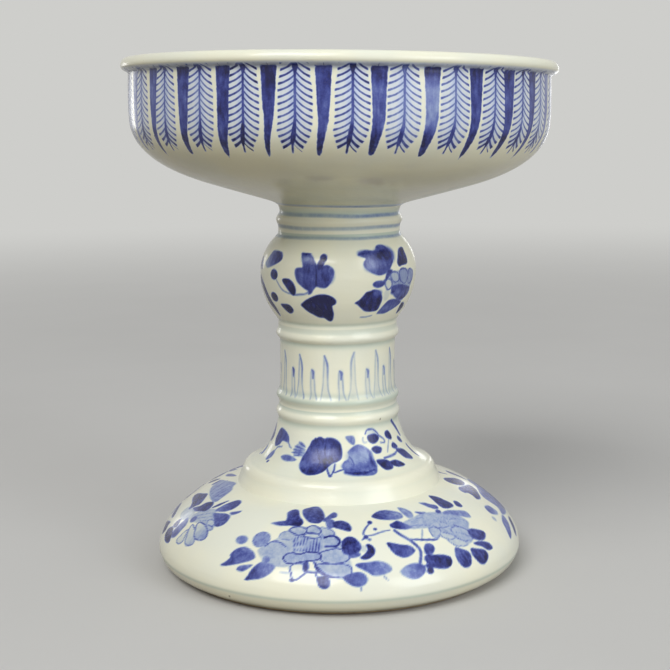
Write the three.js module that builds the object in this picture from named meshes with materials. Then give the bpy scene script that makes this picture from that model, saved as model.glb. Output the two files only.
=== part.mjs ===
// A porcelain stem dish, or tazza: a shallow dish on a tall hollow pedestal.
// Six thrown sections stand on each other at flat seats, where the outline changes,
// and a thin ring of slip lutes each pair together. The pedestal is open underneath.
// Millimetres, +Z up, origin at the centre of the foot ring's underside.
import * as THREE from "three";

// Facets around the axis, a multiple of four
const facets = 40;

// Heights of the thrown sections, from the ground up, and of the slip between them
const footHeight = 25.6;
const skirtHeight = 26.2;
const drumHeight = 25.6;
const knopHeight = 29.0;
const collarHeight = 7.4;
const dishHeight = 44.2;
const slipThickness = 0.4;

// Foot: a low dome that rolls under to an unglazed ring
const footRadius = 59.0;
const footEdgeHeight = 6.4;
const footRingRadius = 53.2;
const footRingWidth = 3.6;
const footRingBevel = 1.0;
const footWall = 5.6;

// Skirt: a step on the foot, then a concave flare up to the drum
const stepRadius = 33.2;
const shoulderRadius = 31.3;
const shoulderHeight = 5.4;
const shoulderRound = 1.7;
const grooveRadius = 29.1;
const skirtNeckRadius = 19.5;
const throatRadius = 24.0;
const throatHeight = 4.0;

// Stem: the drum, and the necks where the sections meet
const stemBore = 13.5;
const drumRadius = 18.6;
const drumFootRadius = 19.15;
const drumTopRadius = 19.1;
const knopTopRadius = 19.35;
const dishSeatRadius = 19.5;

// Knop: a hollow swelling
const knopRadius = 24.85;
const knopBellyHeight = 16.4;
const knopNeckHeight = 0.8;
const knopFullness = 2.15;
const knopWall = 5.8;

// Ribs: crest radius, and height of the crest above its own section's base
const beadBelow = 2.2;
const beadAbove = 2.4;
const skirtRibRadius = 20.15;
const skirtRibHeight = 23.6;
const drumLowRibRadius = 19.95;
const drumLowRibHeight = 2.5;
const drumHighRibRadius = 19.85;
const drumHighRibHeight = 22.4;
const collarRibRadius = 20.1;
const collarRibHeight = 3.3;
const collarWaistRadius = 18.95;

// Dish: a nearly flat underside, an upright wall and a rolled lip
const wallRadius = 65.3;
const wallBaseHeight = 26.7;
const wallThickness = 3.7;
const undersideRadius = 40.8;
const undersideHeight = 6.3;
const lipRadius = 67.6;
const lipHeight = 3.6;
const lipCrownRadius = 65.3;
const lipRollHeight = 1.5;
const floorRadius = 22.0;
const floorHeight = 6.2;
const floorThickness = 4.4;

// Slip: how far a lute stands back from the outside, and the bead squeezed into the hollow
const luteInset = 0.15;
const slipBeadDepth = 1.1;
const slipBeadHeight = 0.8;
const boreClearance = 0.3;

// Levels of the seats, from the stack of heights
const skirtBase = footHeight + slipThickness;
const drumBase = skirtBase + skirtHeight + slipThickness;
const knopBase = drumBase + drumHeight + slipThickness;
const collarBase = knopBase + knopHeight + slipThickness;
const dishBase = collarBase + collarHeight + slipThickness;

// Outlines are lists of [radius, height] points in a half plane, anticlockwise

function lerp(a, b, t) {
  return a + (b - a) * t;
}

// Points of a cubic curve after its start, through two handles
function curve(start, handleA, handleB, end, steps) {
  const bezier = new THREE.CubicBezierCurve(
    new THREE.Vector2(...start),
    new THREE.Vector2(...handleA),
    new THREE.Vector2(...handleB),
    new THREE.Vector2(...end),
  );
  return bezier.getPoints(steps).slice(1).map((point) => [point.x, point.y]);
}

// A rib: an S-shaped rise to the crest and an S-shaped fall to the neck above it
function rib(crestHeight, crestRadius, radiusBelow, radiusAbove) {
  const points = [];
  for (const t of [0, 0.35, 0.65, 1]) {
    const rise = (1 - Math.cos(Math.PI * t)) / 2;
    points.push([lerp(radiusBelow, crestRadius, rise), crestHeight - beadBelow * (1 - t)]);
  }
  for (const t of [0.35, 0.65, 1]) {
    const fall = (1 - Math.cos(Math.PI * t)) / 2;
    points.push([lerp(crestRadius, radiusAbove, fall), crestHeight + beadAbove * t]);
  }
  return points;
}

function turned(name, outline, base, material) {
  const points = outline.map(([radius, height]) => new THREE.Vector2(radius, height));
  const geometry = new THREE.LatheGeometry(points, facets);
  geometry.rotateX(Math.PI / 2);
  const mesh = new THREE.Mesh(geometry, material);
  mesh.name = name;
  mesh.position.z = base;
  return mesh;
}

function closed(points) {
  return [...points, points[0]];
}

function footOutline() {
  const ringInner = footRingRadius - footRingWidth;
  const rise = footHeight - footEdgeHeight;
  const run = footRadius - stepRadius;
  const edgeStart = [footRingRadius + 1.5 * footRingBevel, footRingBevel];
  const edge = [footRadius, footEdgeHeight];
  const top = [stepRadius, footHeight];
  const innerTop = footHeight - footWall + 1.0;
  return closed([
    [ringInner, 0],
    [footRingRadius, 0],
    edgeStart,
    ...curve(
      edgeStart,
      [lerp(edgeStart[0], footRadius, 0.48), lerp(edgeStart[1], footEdgeHeight, 0.22)],
      [footRadius, lerp(edgeStart[1], footEdgeHeight, 0.63)],
      edge, 4,
    ),
    ...curve(
      edge,
      [footRadius, footEdgeHeight + 0.41 * rise],
      [stepRadius + 0.43 * run, footHeight - 0.06 * rise],
      top, 8,
    ),
    [throatRadius, footHeight],
    [throatRadius, innerTop],
    ...curve(
      [throatRadius, innerTop],
      [lerp(throatRadius, ringInner, 0.45), innerTop - 0.04 * rise],
      [ringInner - 0.03 * run, lerp(footEdgeHeight, footHeight, 0.28)],
      [ringInner, footRingBevel + 2.0], 6,
    ),
  ]);
}

function skirtOutline() {
  const grooveHeight = shoulderHeight + shoulderRound * 0.8;
  const ribFoot = skirtRibHeight - beadBelow;
  const rise = ribFoot - grooveHeight;
  const run = grooveRadius - skirtNeckRadius;
  return closed([
    [throatRadius, 0],
    [stepRadius, 0],
    [lerp(stepRadius, shoulderRadius, 0.85), shoulderHeight - shoulderRound],
    ...curve(
      [lerp(stepRadius, shoulderRadius, 0.85), shoulderHeight - shoulderRound],
      [shoulderRadius, shoulderHeight],
      [shoulderRadius - shoulderRound * 0.7, grooveHeight + 0.1],
      [grooveRadius, grooveHeight], 4,
    ),
    ...curve(
      [grooveRadius, grooveHeight],
      [grooveRadius - 0.64 * run, grooveHeight + 0.19 * rise],
      [skirtNeckRadius + 0.15 * run, ribFoot - 0.42 * rise],
      [skirtNeckRadius, ribFoot], 7,
    ).slice(0, -1),
    ...rib(skirtRibHeight, skirtRibRadius, skirtNeckRadius, drumFootRadius),
    [drumFootRadius, skirtHeight],
    [stemBore, skirtHeight],
    ...curve(
      [stemBore, skirtHeight],
      [stemBore, lerp(skirtHeight, throatHeight, 0.7)],
      [throatRadius, lerp(skirtHeight, throatHeight, 0.85)],
      [throatRadius, throatHeight], 6,
    ),
  ]);
}

function drumOutline() {
  const lowRib = rib(drumLowRibHeight, drumLowRibRadius, drumFootRadius, drumRadius + 0.25);
  const highRib = rib(drumHighRibHeight, drumHighRibRadius, drumRadius, drumTopRadius);
  const waist = lerp(drumLowRibHeight, drumHighRibHeight, 0.4);
  return closed([
    [stemBore, 0],
    [drumFootRadius, 0],
    ...lowRib,
    [drumRadius, waist],
    ...highRib,
    [drumTopRadius, drumHeight],
    [stemBore, drumHeight],
  ]);
}

// The knop swells as a rounded hump between its necks, inside and out
function swelling(lowNeck, highNeck, belly, steps) {
  const points = [];
  const swellBase = knopNeckHeight;
  const swellTop = knopHeight - knopNeckHeight;
  for (let i = 0; i <= steps; i += 1) {
    const height = lerp(swellBase, swellTop, i / steps);
    const below = height < knopBellyHeight;
    const end = below ? swellBase : swellTop;
    const neck = below ? lowNeck : highNeck;
    const away = (height - knopBellyHeight) / (end - knopBellyHeight);
    points.push([neck + (belly - neck) * (1 - away ** knopFullness), height]);
  }
  return points;
}

function knopOutline() {
  const inside = swelling(stemBore, stemBore, knopRadius - knopWall, 6);
  return closed([
    [stemBore, 0],
    [drumTopRadius, 0],
    ...swelling(drumTopRadius, knopTopRadius, knopRadius, 12),
    [knopTopRadius, knopHeight],
    [stemBore, knopHeight],
    ...inside.reverse(),
  ]);
}

function collarOutline() {
  return closed([
    [stemBore, 0],
    [knopTopRadius, 0],
    ...rib(collarRibHeight, collarRibRadius, knopTopRadius, collarWaistRadius),
    [lerp(collarWaistRadius, dishSeatRadius, 0.3), lerp(collarRibHeight + beadAbove, collarHeight, 0.6)],
    [dishSeatRadius, collarHeight],
    [stemBore, collarHeight],
  ]);
}

function dishOutline() {
  const lipBase = dishHeight - lipHeight;
  const lipWidest = dishHeight - lipRollHeight;
  const innerWall = wallRadius - wallThickness;
  const bendRun = wallRadius - undersideRadius;
  const bendRise = wallBaseHeight - undersideHeight;
  return [
    [0, floorHeight - floorThickness],
    [stemBore - boreClearance, floorHeight - floorThickness],
    [stemBore, 0],
    [dishSeatRadius, 0],
    [dishSeatRadius + 0.8, 0.35],
    [lerp(dishSeatRadius, undersideRadius, 0.12), undersideHeight * 0.17],
    [lerp(dishSeatRadius, undersideRadius, 0.45), undersideHeight * 0.48],
    [undersideRadius, undersideHeight],
    ...curve(
      [undersideRadius, undersideHeight],
      [undersideRadius + 0.49 * bendRun, undersideHeight + 0.17 * bendRise],
      [wallRadius, undersideHeight + 0.446 * bendRise],
      [wallRadius, wallBaseHeight], 8,
    ),
    [wallRadius + 0.1, lerp(wallBaseHeight, lipBase, 0.35)],
    [wallRadius - 0.1, lipBase],
    ...curve(
      [wallRadius - 0.1, lipBase],
      [lerp(wallRadius, lipRadius, 0.65), lipBase + 0.1 * lipHeight],
      [lipRadius, lipWidest - 0.28 * lipHeight],
      [lipRadius, lipWidest], 3,
    ),
    ...curve(
      [lipRadius, lipWidest],
      [lipRadius, dishHeight - 0.35 * lipRollHeight],
      [lerp(lipRadius, lipCrownRadius, 0.5), dishHeight],
      [lipCrownRadius, dishHeight], 3,
    ),
    ...curve(
      [lipCrownRadius, dishHeight],
      [lerp(lipCrownRadius, innerWall, 0.6), dishHeight],
      [innerWall + 0.2, dishHeight - 0.3 * lipHeight],
      [innerWall, lipBase], 3,
    ),
    [innerWall, wallBaseHeight + 2.0],
    ...curve(
      [innerWall, wallBaseHeight + 2.0],
      [innerWall - 0.2, lerp(wallBaseHeight, floorHeight, 0.55)],
      [lerp(floorRadius, innerWall, 0.66), lerp(floorHeight, wallBaseHeight, 0.22)],
      [floorRadius, floorHeight], 8,
    ),
    [0, floorHeight],
  ];
}

// A lute: a thin flat ring of slip, with the bead that squeezes out into the hollow
function luteOutline(bore, seatRadius) {
  return closed([
    [bore, 0],
    [seatRadius - luteInset, 0],
    [seatRadius - luteInset, slipThickness],
    [bore, slipThickness],
    [bore - boreClearance, slipThickness + slipBeadHeight],
    [bore - slipBeadDepth, slipThickness / 2],
    [bore - boreClearance, -slipBeadHeight],
  ]);
}

const glaze = () => new THREE.MeshStandardMaterial({ color: 0xdfdccb, roughness: 0.15, metalness: 0 });
const slip = () => new THREE.MeshStandardMaterial({ color: 0xc9bda4, roughness: 0.8, metalness: 0 });

const tazza = new THREE.Group();
tazza.name = "tazza";

const sections = [
  ["foot", footOutline(), 0],
  ["skirt", skirtOutline(), skirtBase],
  ["drum", drumOutline(), drumBase],
  ["knop", knopOutline(), knopBase],
  ["collar", collarOutline(), collarBase],
  ["dish", dishOutline(), dishBase],
];
for (const [name, outline, base] of sections) {
  tazza.add(turned(name, outline, base, glaze()));
}

const lutes = [
  ["foot_lute", throatRadius, stepRadius, skirtBase],
  ["skirt_lute", stemBore, drumFootRadius, drumBase],
  ["drum_lute", stemBore, drumTopRadius, knopBase],
  ["knop_lute", stemBore, knopTopRadius, collarBase],
  ["collar_lute", stemBore, dishSeatRadius, dishBase],
];
for (const [name, bore, seatRadius, topLevel] of lutes) {
  tazza.add(turned(name, luteOutline(bore, seatRadius), topLevel - slipThickness, slip()));
}

export default tazza;
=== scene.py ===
import math

import bpy
import numpy as np
from mathutils import Matrix, Vector


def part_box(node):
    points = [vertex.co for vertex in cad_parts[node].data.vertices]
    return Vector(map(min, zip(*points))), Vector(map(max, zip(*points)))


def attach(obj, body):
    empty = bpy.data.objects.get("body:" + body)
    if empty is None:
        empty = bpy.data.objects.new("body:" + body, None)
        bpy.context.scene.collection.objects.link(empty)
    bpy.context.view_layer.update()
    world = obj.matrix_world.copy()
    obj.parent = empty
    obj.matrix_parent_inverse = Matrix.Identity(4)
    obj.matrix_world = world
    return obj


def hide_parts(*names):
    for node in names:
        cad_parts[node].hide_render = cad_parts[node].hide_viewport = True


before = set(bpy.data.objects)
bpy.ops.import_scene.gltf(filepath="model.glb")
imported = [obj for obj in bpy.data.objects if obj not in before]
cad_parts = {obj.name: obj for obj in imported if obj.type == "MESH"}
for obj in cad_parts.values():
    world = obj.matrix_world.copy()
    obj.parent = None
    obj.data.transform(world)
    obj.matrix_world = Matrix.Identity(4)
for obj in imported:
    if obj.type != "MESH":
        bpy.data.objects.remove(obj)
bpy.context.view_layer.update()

# A blue-and-white porcelain tazza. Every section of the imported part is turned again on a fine
# grid from its own outline, and the cobalt painting is laid on that grid as an amount of ink.
# Round the axis, places are in degrees from the front, positive to the viewer's right.
# Heights and distances are in millimetres until a mesh is made.
MM = 0.001


# Small helpers

def smoothstep(low, high, value):
    t = np.clip((value - low) / (high - low), 0, 1)
    return t * t * (3 - 2 * t)


def srgb(red, green, blue):
    """A linear colour from display values of 0 to 255."""
    channels = []
    for value in (red, green, blue):
        c = value / 255
        channels.append(c / 12.92 if c <= 0.04045 else ((c + 0.055) / 1.055) ** 2.4)
    return (*channels, 1.0)


def spline(points, steps, closed=False):
    """A smooth curve through the points, with the same number of steps between each two."""
    points = np.asarray(points, float)
    if closed:
        padded = np.concatenate([points[-1:], points, points[:2]])
    else:
        padded = np.concatenate([2 * points[:1] - points[1:2], points, 2 * points[-1:] - points[-2:-1]])
    t = (np.arange(steps) / steps)[:, None]
    curve = []
    for a, b, c, d in zip(padded, padded[1:], padded[2:], padded[3:]):
        curve.append(0.5 * (2 * b + (c - a) * t + (2 * a - 5 * b + 4 * c - d) * t**2
                            + (3 * b - a - 3 * c + d) * t**3))
    return np.concatenate([*curve, padded[-2:-1]])


def add_object(name, data):
    """Puts a new object in the scene."""
    made = bpy.data.objects.new(name, data)
    bpy.context.scene.collection.objects.link(made)
    return made


def polar(reach, degrees):
    return reach * math.cos(math.radians(degrees)), reach * math.sin(math.radians(degrees))


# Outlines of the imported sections

GLAZE_SOFTNESS = 0.3    # how far glaze rounds a corner
FINE_STEP = 0.08
SHARP_TURN = 0.6        # radians; a sharper bend is a corner, and a gentler one is part of a curve
SEAM = 0.2              # each section reaches half way over the slip to its neighbour


def meridian(node):
    """A section's outline in the half plane of +X as ordered (radius, height) rows, and if it closes."""
    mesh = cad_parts[node].data
    points = np.array([vertex.co for vertex in mesh.vertices]) / MM
    on_plane = (abs(points[:, 1]) < 1e-3) & (points[:, 0] > -1e-3)
    names, name_of = {}, {}
    for index in np.flatnonzero(on_plane):
        key = (round(float(points[index, 0]), 3), round(float(points[index, 2]), 3))
        name_of[int(index)] = names.setdefault(key, len(names))
    places = np.array(list(names))
    beside = {name: set() for name in names.values()}
    for edge in mesh.edges:
        a, b = (name_of.get(vertex) for vertex in edge.vertices)
        if a is not None and b is not None and a != b:
            beside[a].add(b)
            beside[b].add(a)
    ends = [name for name, others in beside.items() if len(others) == 1]
    order = [min(ends, key=lambda name: places[name][1]) if ends else 0]
    while True:
        onward = [name for name in beside[order[-1]] if name not in order]
        if not onward:
            return places[order], not ends
        order.append(onward[0])


def bend(a, b, c):
    """The angle in radians that the path a, b, c turns through at b, or 0 at an end."""
    first, second = b - a, c - b
    if not first.any() or not second.any():
        return 0.0
    return abs(math.atan2(first[0] * second[1] - first[1] * second[0], first @ second))


def glazed_curve(points):
    """A dense curve through the points, smooth on gentle stretches, with its corners softened."""
    pieces = []
    padded = [points[0], *points, points[-1]]
    for before, start, end, after in zip(padded, padded[1:], padded[2:], padded[3:]):
        chord = end - start
        length = np.hypot(*chord)
        tangents = []
        for smooth, direction in ((bend(before, start, end) < SHARP_TURN, end - before),
                                  (bend(start, end, after) < SHARP_TURN, after - start)):
            direction = direction if smooth and direction.any() else chord
            tangents.append(direction / np.hypot(*direction) * length)
        t = np.arange(0, 1, FINE_STEP / max(length, FINE_STEP))[:, None]
        pieces.append((2 * t**3 - 3 * t**2 + 1) * start + (t**3 - 2 * t**2 + t) * tangents[0]
                      + (3 * t**2 - 2 * t**3) * end + (t**3 - t**2) * tangents[1])
    curve = np.concatenate([*pieces, points[-1:]])
    reach = int(3 * GLAZE_SOFTNESS / FINE_STEP)
    if len(curve) <= reach + 1:
        return curve
    weights = np.exp(-0.5 * (np.arange(-reach, reach + 1) * FINE_STEP / GLAZE_SOFTNESS) ** 2)
    weights /= weights.sum()
    grown = np.concatenate([
        2 * curve[0] - curve[reach:0:-1], curve, 2 * curve[-1] - curve[-2:-reach - 2:-1]])
    return np.stack([np.convolve(grown[:, k], weights, "valid") for k in (0, 1)], axis=1)


def spaced(points, spacing):
    """Points along a dense curve, as far apart as spacing(radius, height) says, with both ends kept."""
    steps = np.hypot(*np.diff(points, axis=0).T)
    middles = (points[1:] + points[:-1]) / 2
    needed = np.concatenate([[0], np.cumsum(steps / spacing(middles[:, 0], middles[:, 1]))])
    count = max(2, int(math.ceil(needed[-1])) + 1)
    wanted = np.linspace(0, needed[-1], count)
    return np.stack([np.interp(wanted, needed, points[:, k]) for k in (0, 1)], axis=1)


def section_rows(node, seats, spacing):
    """The rows of a section's grid, which rows are seat edges, and if the outline closes.

    seats are the heights of the flat faces where it meets its neighbours."""
    outline, closes = meridian(node)
    on_seat = np.array([any(abs(height - seat) < 0.01 for seat in seats) for _, height in outline])
    middle = (outline[:, 1].min() + outline[:, 1].max()) / 2
    outline[on_seat, 1] += np.where(outline[on_seat, 1] > middle, SEAM, -SEAM)
    if closes:
        start = int(on_seat.argmax())
        outline = np.roll(outline, -start, axis=0)
        outline = np.concatenate([outline, outline[:1]])
        on_seat = np.append(np.roll(on_seat, -start), True)
    on_seat[[0, -1]] = True
    stops = np.flatnonzero(on_seat)
    rows, edges = [], []
    for first, last in zip(stops, stops[1:]):
        edges.append(len(rows))
        if last == first + 1:
            rows.append(outline[first])
        else:
            curve = spaced(glazed_curve(outline[first:last + 1]), spacing)
            rows.extend(curve[:-1])
    if not closes:
        rows.append(outline[-1])
        edges = edges[1:]
    return np.array(rows), edges, closes


# How the fired piece departs from a true turning

LEAN = 0.0107                       # the stem's lean to the viewer's right, per unit of height
STEM_OFFSET = -0.5                  # the middle of the stem, off the line from foot to lip
STEM_FROM, STEM_TO = 26.0, 116.0
DISH_TILT = 0.0190                  # the dish is lower on the viewer's right
TILT_FROM, TILT_TO = 108.0, 118.0
OVALITY, RIPPLE = 0.10, 0.05
SHOULDER_RISE = 0.8                 # the dome stands a little proud where the skirt sits on it
SHOULDER_HEIGHT, SHOULDER_REACH = 26.0, 6.5


def settled(angle, radius, height):
    """Where a turned point ends up after drying and firing, as x, y and z."""
    thrown = OVALITY * np.sin(2 * angle + 0.03 * height) + RIPPLE * np.sin(5 * angle - 0.06 * height + 1)
    radius = radius + thrown * np.clip(radius / 20, 0, 1)
    x = radius * np.sin(angle)
    climb = np.clip((height - STEM_FROM) / (STEM_TO - STEM_FROM), 0, 1)
    shift = LEAN * height + STEM_OFFSET * np.sin(math.pi * climb)
    tilt = DISH_TILT * smoothstep(TILT_FROM, TILT_TO, height)
    rise = SHOULDER_RISE * np.exp(-((height - SHOULDER_HEIGHT) / SHOULDER_REACH) ** 2)
    return x + shift, -radius * np.cos(angle), height + rise - tilt * x


POOL_REACH = 0.6        # how far along the outline a hollow draws glaze
POOL_GAIN = 2.2


def hollowness(rows, closes):
    """How hollow the outline is at each row, from 0 to 1: glaze pools there."""
    ahead = np.roll(rows, -1, axis=0) - rows
    behind = rows - np.roll(rows, 1, axis=0)
    if not closes:
        ahead[-1] = behind[-1]
        behind[0] = ahead[0]
    cross = behind[:, 0] * ahead[:, 1] - behind[:, 1] * ahead[:, 0]
    area = np.sum(rows[:, 0] * np.roll(rows[:, 1], -1) - np.roll(rows[:, 0], -1) * rows[:, 1])
    step = (np.hypot(*ahead.T) + np.hypot(*behind.T)) / 2
    bending = -np.sign(area) * cross / np.maximum(step, 0.1) ** 3
    along = np.cumsum(step)
    near = np.exp(-0.5 * ((along[:, None] - along[None, :]) / POOL_REACH) ** 2) * step
    return np.clip(near @ bending / near.sum(axis=1) * POOL_GAIN, 0, 1)


# A section on its fine grid

class Section:
    """A turned section: its grid of points, and the amounts that are painted on them."""

    def __init__(self, node, seats, columns, spacing):
        self.node = node
        self.columns = columns
        self.rows, self.seat_rows, self.closes = section_rows(node, seats, spacing)
        ends = (0, len(self.rows) - 1)
        self.sizes = [1 if not self.closes and k in ends else columns for k in range(len(self.rows))]
        self.starts = np.concatenate([[0], np.cumsum(self.sizes)])
        turns = np.linspace(-math.pi, math.pi, columns, endpoint=False)
        self.angle = np.concatenate([turns if size > 1 else [0.0] for size in self.sizes])
        self.row = np.repeat(np.arange(len(self.rows)), self.sizes)
        self.reread()
        self.outer = self.outer_rows()
        self.paint = {label: np.zeros(len(self.row)) for label in ("ink", "bare", "speck")}
        self.paint["pool"] = hollowness(self.rows, self.closes)[self.row]

    def reread(self):
        """Fills in every point's radius, height and place along the outline from its row."""
        self.radius = self.rows[self.row, 0]
        self.height = self.rows[self.row, 1]
        steps = np.hypot(*np.diff(self.rows, axis=0).T)
        self.row_along = np.concatenate([[0], np.cumsum(steps)])
        self.along = self.row_along[self.row]

    def outer_rows(self):
        """The rows of the outside, from the bottom up: those near the widest of their level."""
        radius, height = self.rows.T
        levels = np.linspace(height.min(), height.max(), 60)
        keep = []
        for low, high in zip(levels, levels[1:]):
            inside = np.flatnonzero((height >= low - 0.01) & (height <= high + 0.01))
            if len(inside):
                widest = radius[inside].max()
                keep.extend(inside[radius[inside] > widest - 6 * (high - low) - 0.6])
        runs = np.split(np.unique(keep), np.flatnonzero(np.diff(np.unique(keep)) > 3) + 1)
        longest = max(runs, key=len)
        order = np.arange(longest[0], longest[-1] + 1)
        return order if height[order[0]] < height[order[-1]] else order[::-1]

    def faces(self):
        """Corner numbers of the quads and of the triangles round each pole, with their map places."""
        quads, quad_map, tris, tri_map = [], [], [], []
        across = np.arange(self.columns)
        beside = (across + 1) % self.columns
        left, right = across / self.columns, (across + 1) / self.columns
        count = len(self.rows)
        closing = np.hypot(*(self.rows[0] - self.rows[-1])) if self.closes else 0
        share = np.append(self.row_along, self.row_along[-1] + closing)
        share = share / share[-1]
        for k in range(count if self.closes else count - 1):
            after = (k + 1) % count
            a, b = self.starts[k], self.starts[after]
            low, high = np.full(self.columns, share[k]), np.full(self.columns, share[k + 1])
            if self.sizes[k] > 1 and self.sizes[after] > 1:
                quads.append(np.stack([a + across, a + beside, b + beside, b + across], axis=1))
                quad_map.append(np.stack([left, low, right, low, right, high, left, high], axis=1))
            elif self.sizes[k] > 1:
                tris.append(np.stack([a + across, a + beside, np.full(self.columns, b)], axis=1))
                tri_map.append(np.stack([left, low, right, low, (left + right) / 2, high], axis=1))
            else:
                tris.append(np.stack([np.full(self.columns, a), b + beside, b + across], axis=1))
                tri_map.append(np.stack([(left + right) / 2, low, right, high, left, high], axis=1))
        empty = [np.zeros((0, 3), int)], [np.zeros((0, 6))]
        quads, quad_map = np.concatenate(quads), np.concatenate(quad_map)
        tris = np.concatenate(tris or empty[0])
        tri_map = np.concatenate(tri_map or empty[1])
        return quads, quad_map.reshape(-1, 4, 2), tris, tri_map.reshape(-1, 3, 2)

    def build(self, material):
        """Makes the mesh object that stands for the CAD node of the same name."""
        points = np.stack(settled(self.angle, self.radius, self.height), axis=1) * MM
        quads, quad_map, tris, tri_map = self.faces()
        a, b, c, d = (points[quads[:, k]] for k in range(4))
        volume = np.einsum("ij,ij", a, np.cross(b, c) + np.cross(c, d))
        if volume < 0:
            quads, quad_map = quads[:, ::-1], quad_map[:, ::-1]
            tris, tri_map = tris[:, ::-1], tri_map[:, ::-1]
        corners = np.concatenate([quads.ravel(), tris.ravel()]).astype(np.int32)
        starts = np.concatenate([np.arange(len(quads)) * 4, quads.size + np.arange(len(tris)) * 3])
        mesh = bpy.data.meshes.new(self.node)
        mesh.vertices.add(len(points))
        mesh.vertices.foreach_set("co", points.ravel())
        mesh.loops.add(len(corners))
        mesh.loops.foreach_set("vertex_index", corners)
        mesh.polygons.add(len(starts))
        mesh.polygons.foreach_set("loop_start", starts.astype(np.int32))
        mesh.polygons.foreach_set("use_smooth", np.ones(len(starts), bool))
        mesh.update(calc_edges=True)
        places = np.concatenate([quad_map.reshape(-1), tri_map.reshape(-1)])
        mesh.uv_layers.new(name="OFBake").uv.foreach_set("vector", places.astype(np.float32))
        self.mark_seats(mesh)
        for label, values in self.paint.items():
            layer = mesh.attributes.new(label, "FLOAT", "POINT")
            layer.data.foreach_set("value", values.astype(np.float32))
        mesh.materials.append(material)
        piece = add_object("porcelain_" + self.node, mesh)
        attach(piece, "root")
        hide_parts(self.node)

    def mark_seats(self, mesh):
        """Keeps the shading sharp at the edges of the flat seats, and smooth elsewhere."""
        ends = np.zeros(len(mesh.edges) * 2, np.int32)
        mesh.edges.foreach_get("vertices", ends)
        row = self.row[ends.reshape(-1, 2)]
        sharp = (row[:, 0] == row[:, 1]) & np.isin(row[:, 0], self.seat_rows)
        mesh.attributes.new("sharp_edge", "BOOLEAN", "EDGE").data.foreach_set("value", sharp)


# The painter's brush

EDGE = 0.28             # how softly ink ends at the edge of a stroke
LINE_EDGE = 0.2         # and at the edge of a thin line
OUTLINE = 0.22          # half width of a drawn outline


def along_path(path, x, y):
    """For points in a column, their share along each straight piece of a path, and distance to it."""
    start, run = path[:-1], np.diff(path, axis=0)
    length = np.maximum((run**2).sum(axis=1), 1e-9)
    share = np.clip(((x - start[:, 0]) * run[:, 0] + (y - start[:, 1]) * run[:, 1]) / length, 0, 1)
    return share, np.hypot(x - start[:, 0] - share * run[:, 0], y - start[:, 1] - share * run[:, 1])


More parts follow.
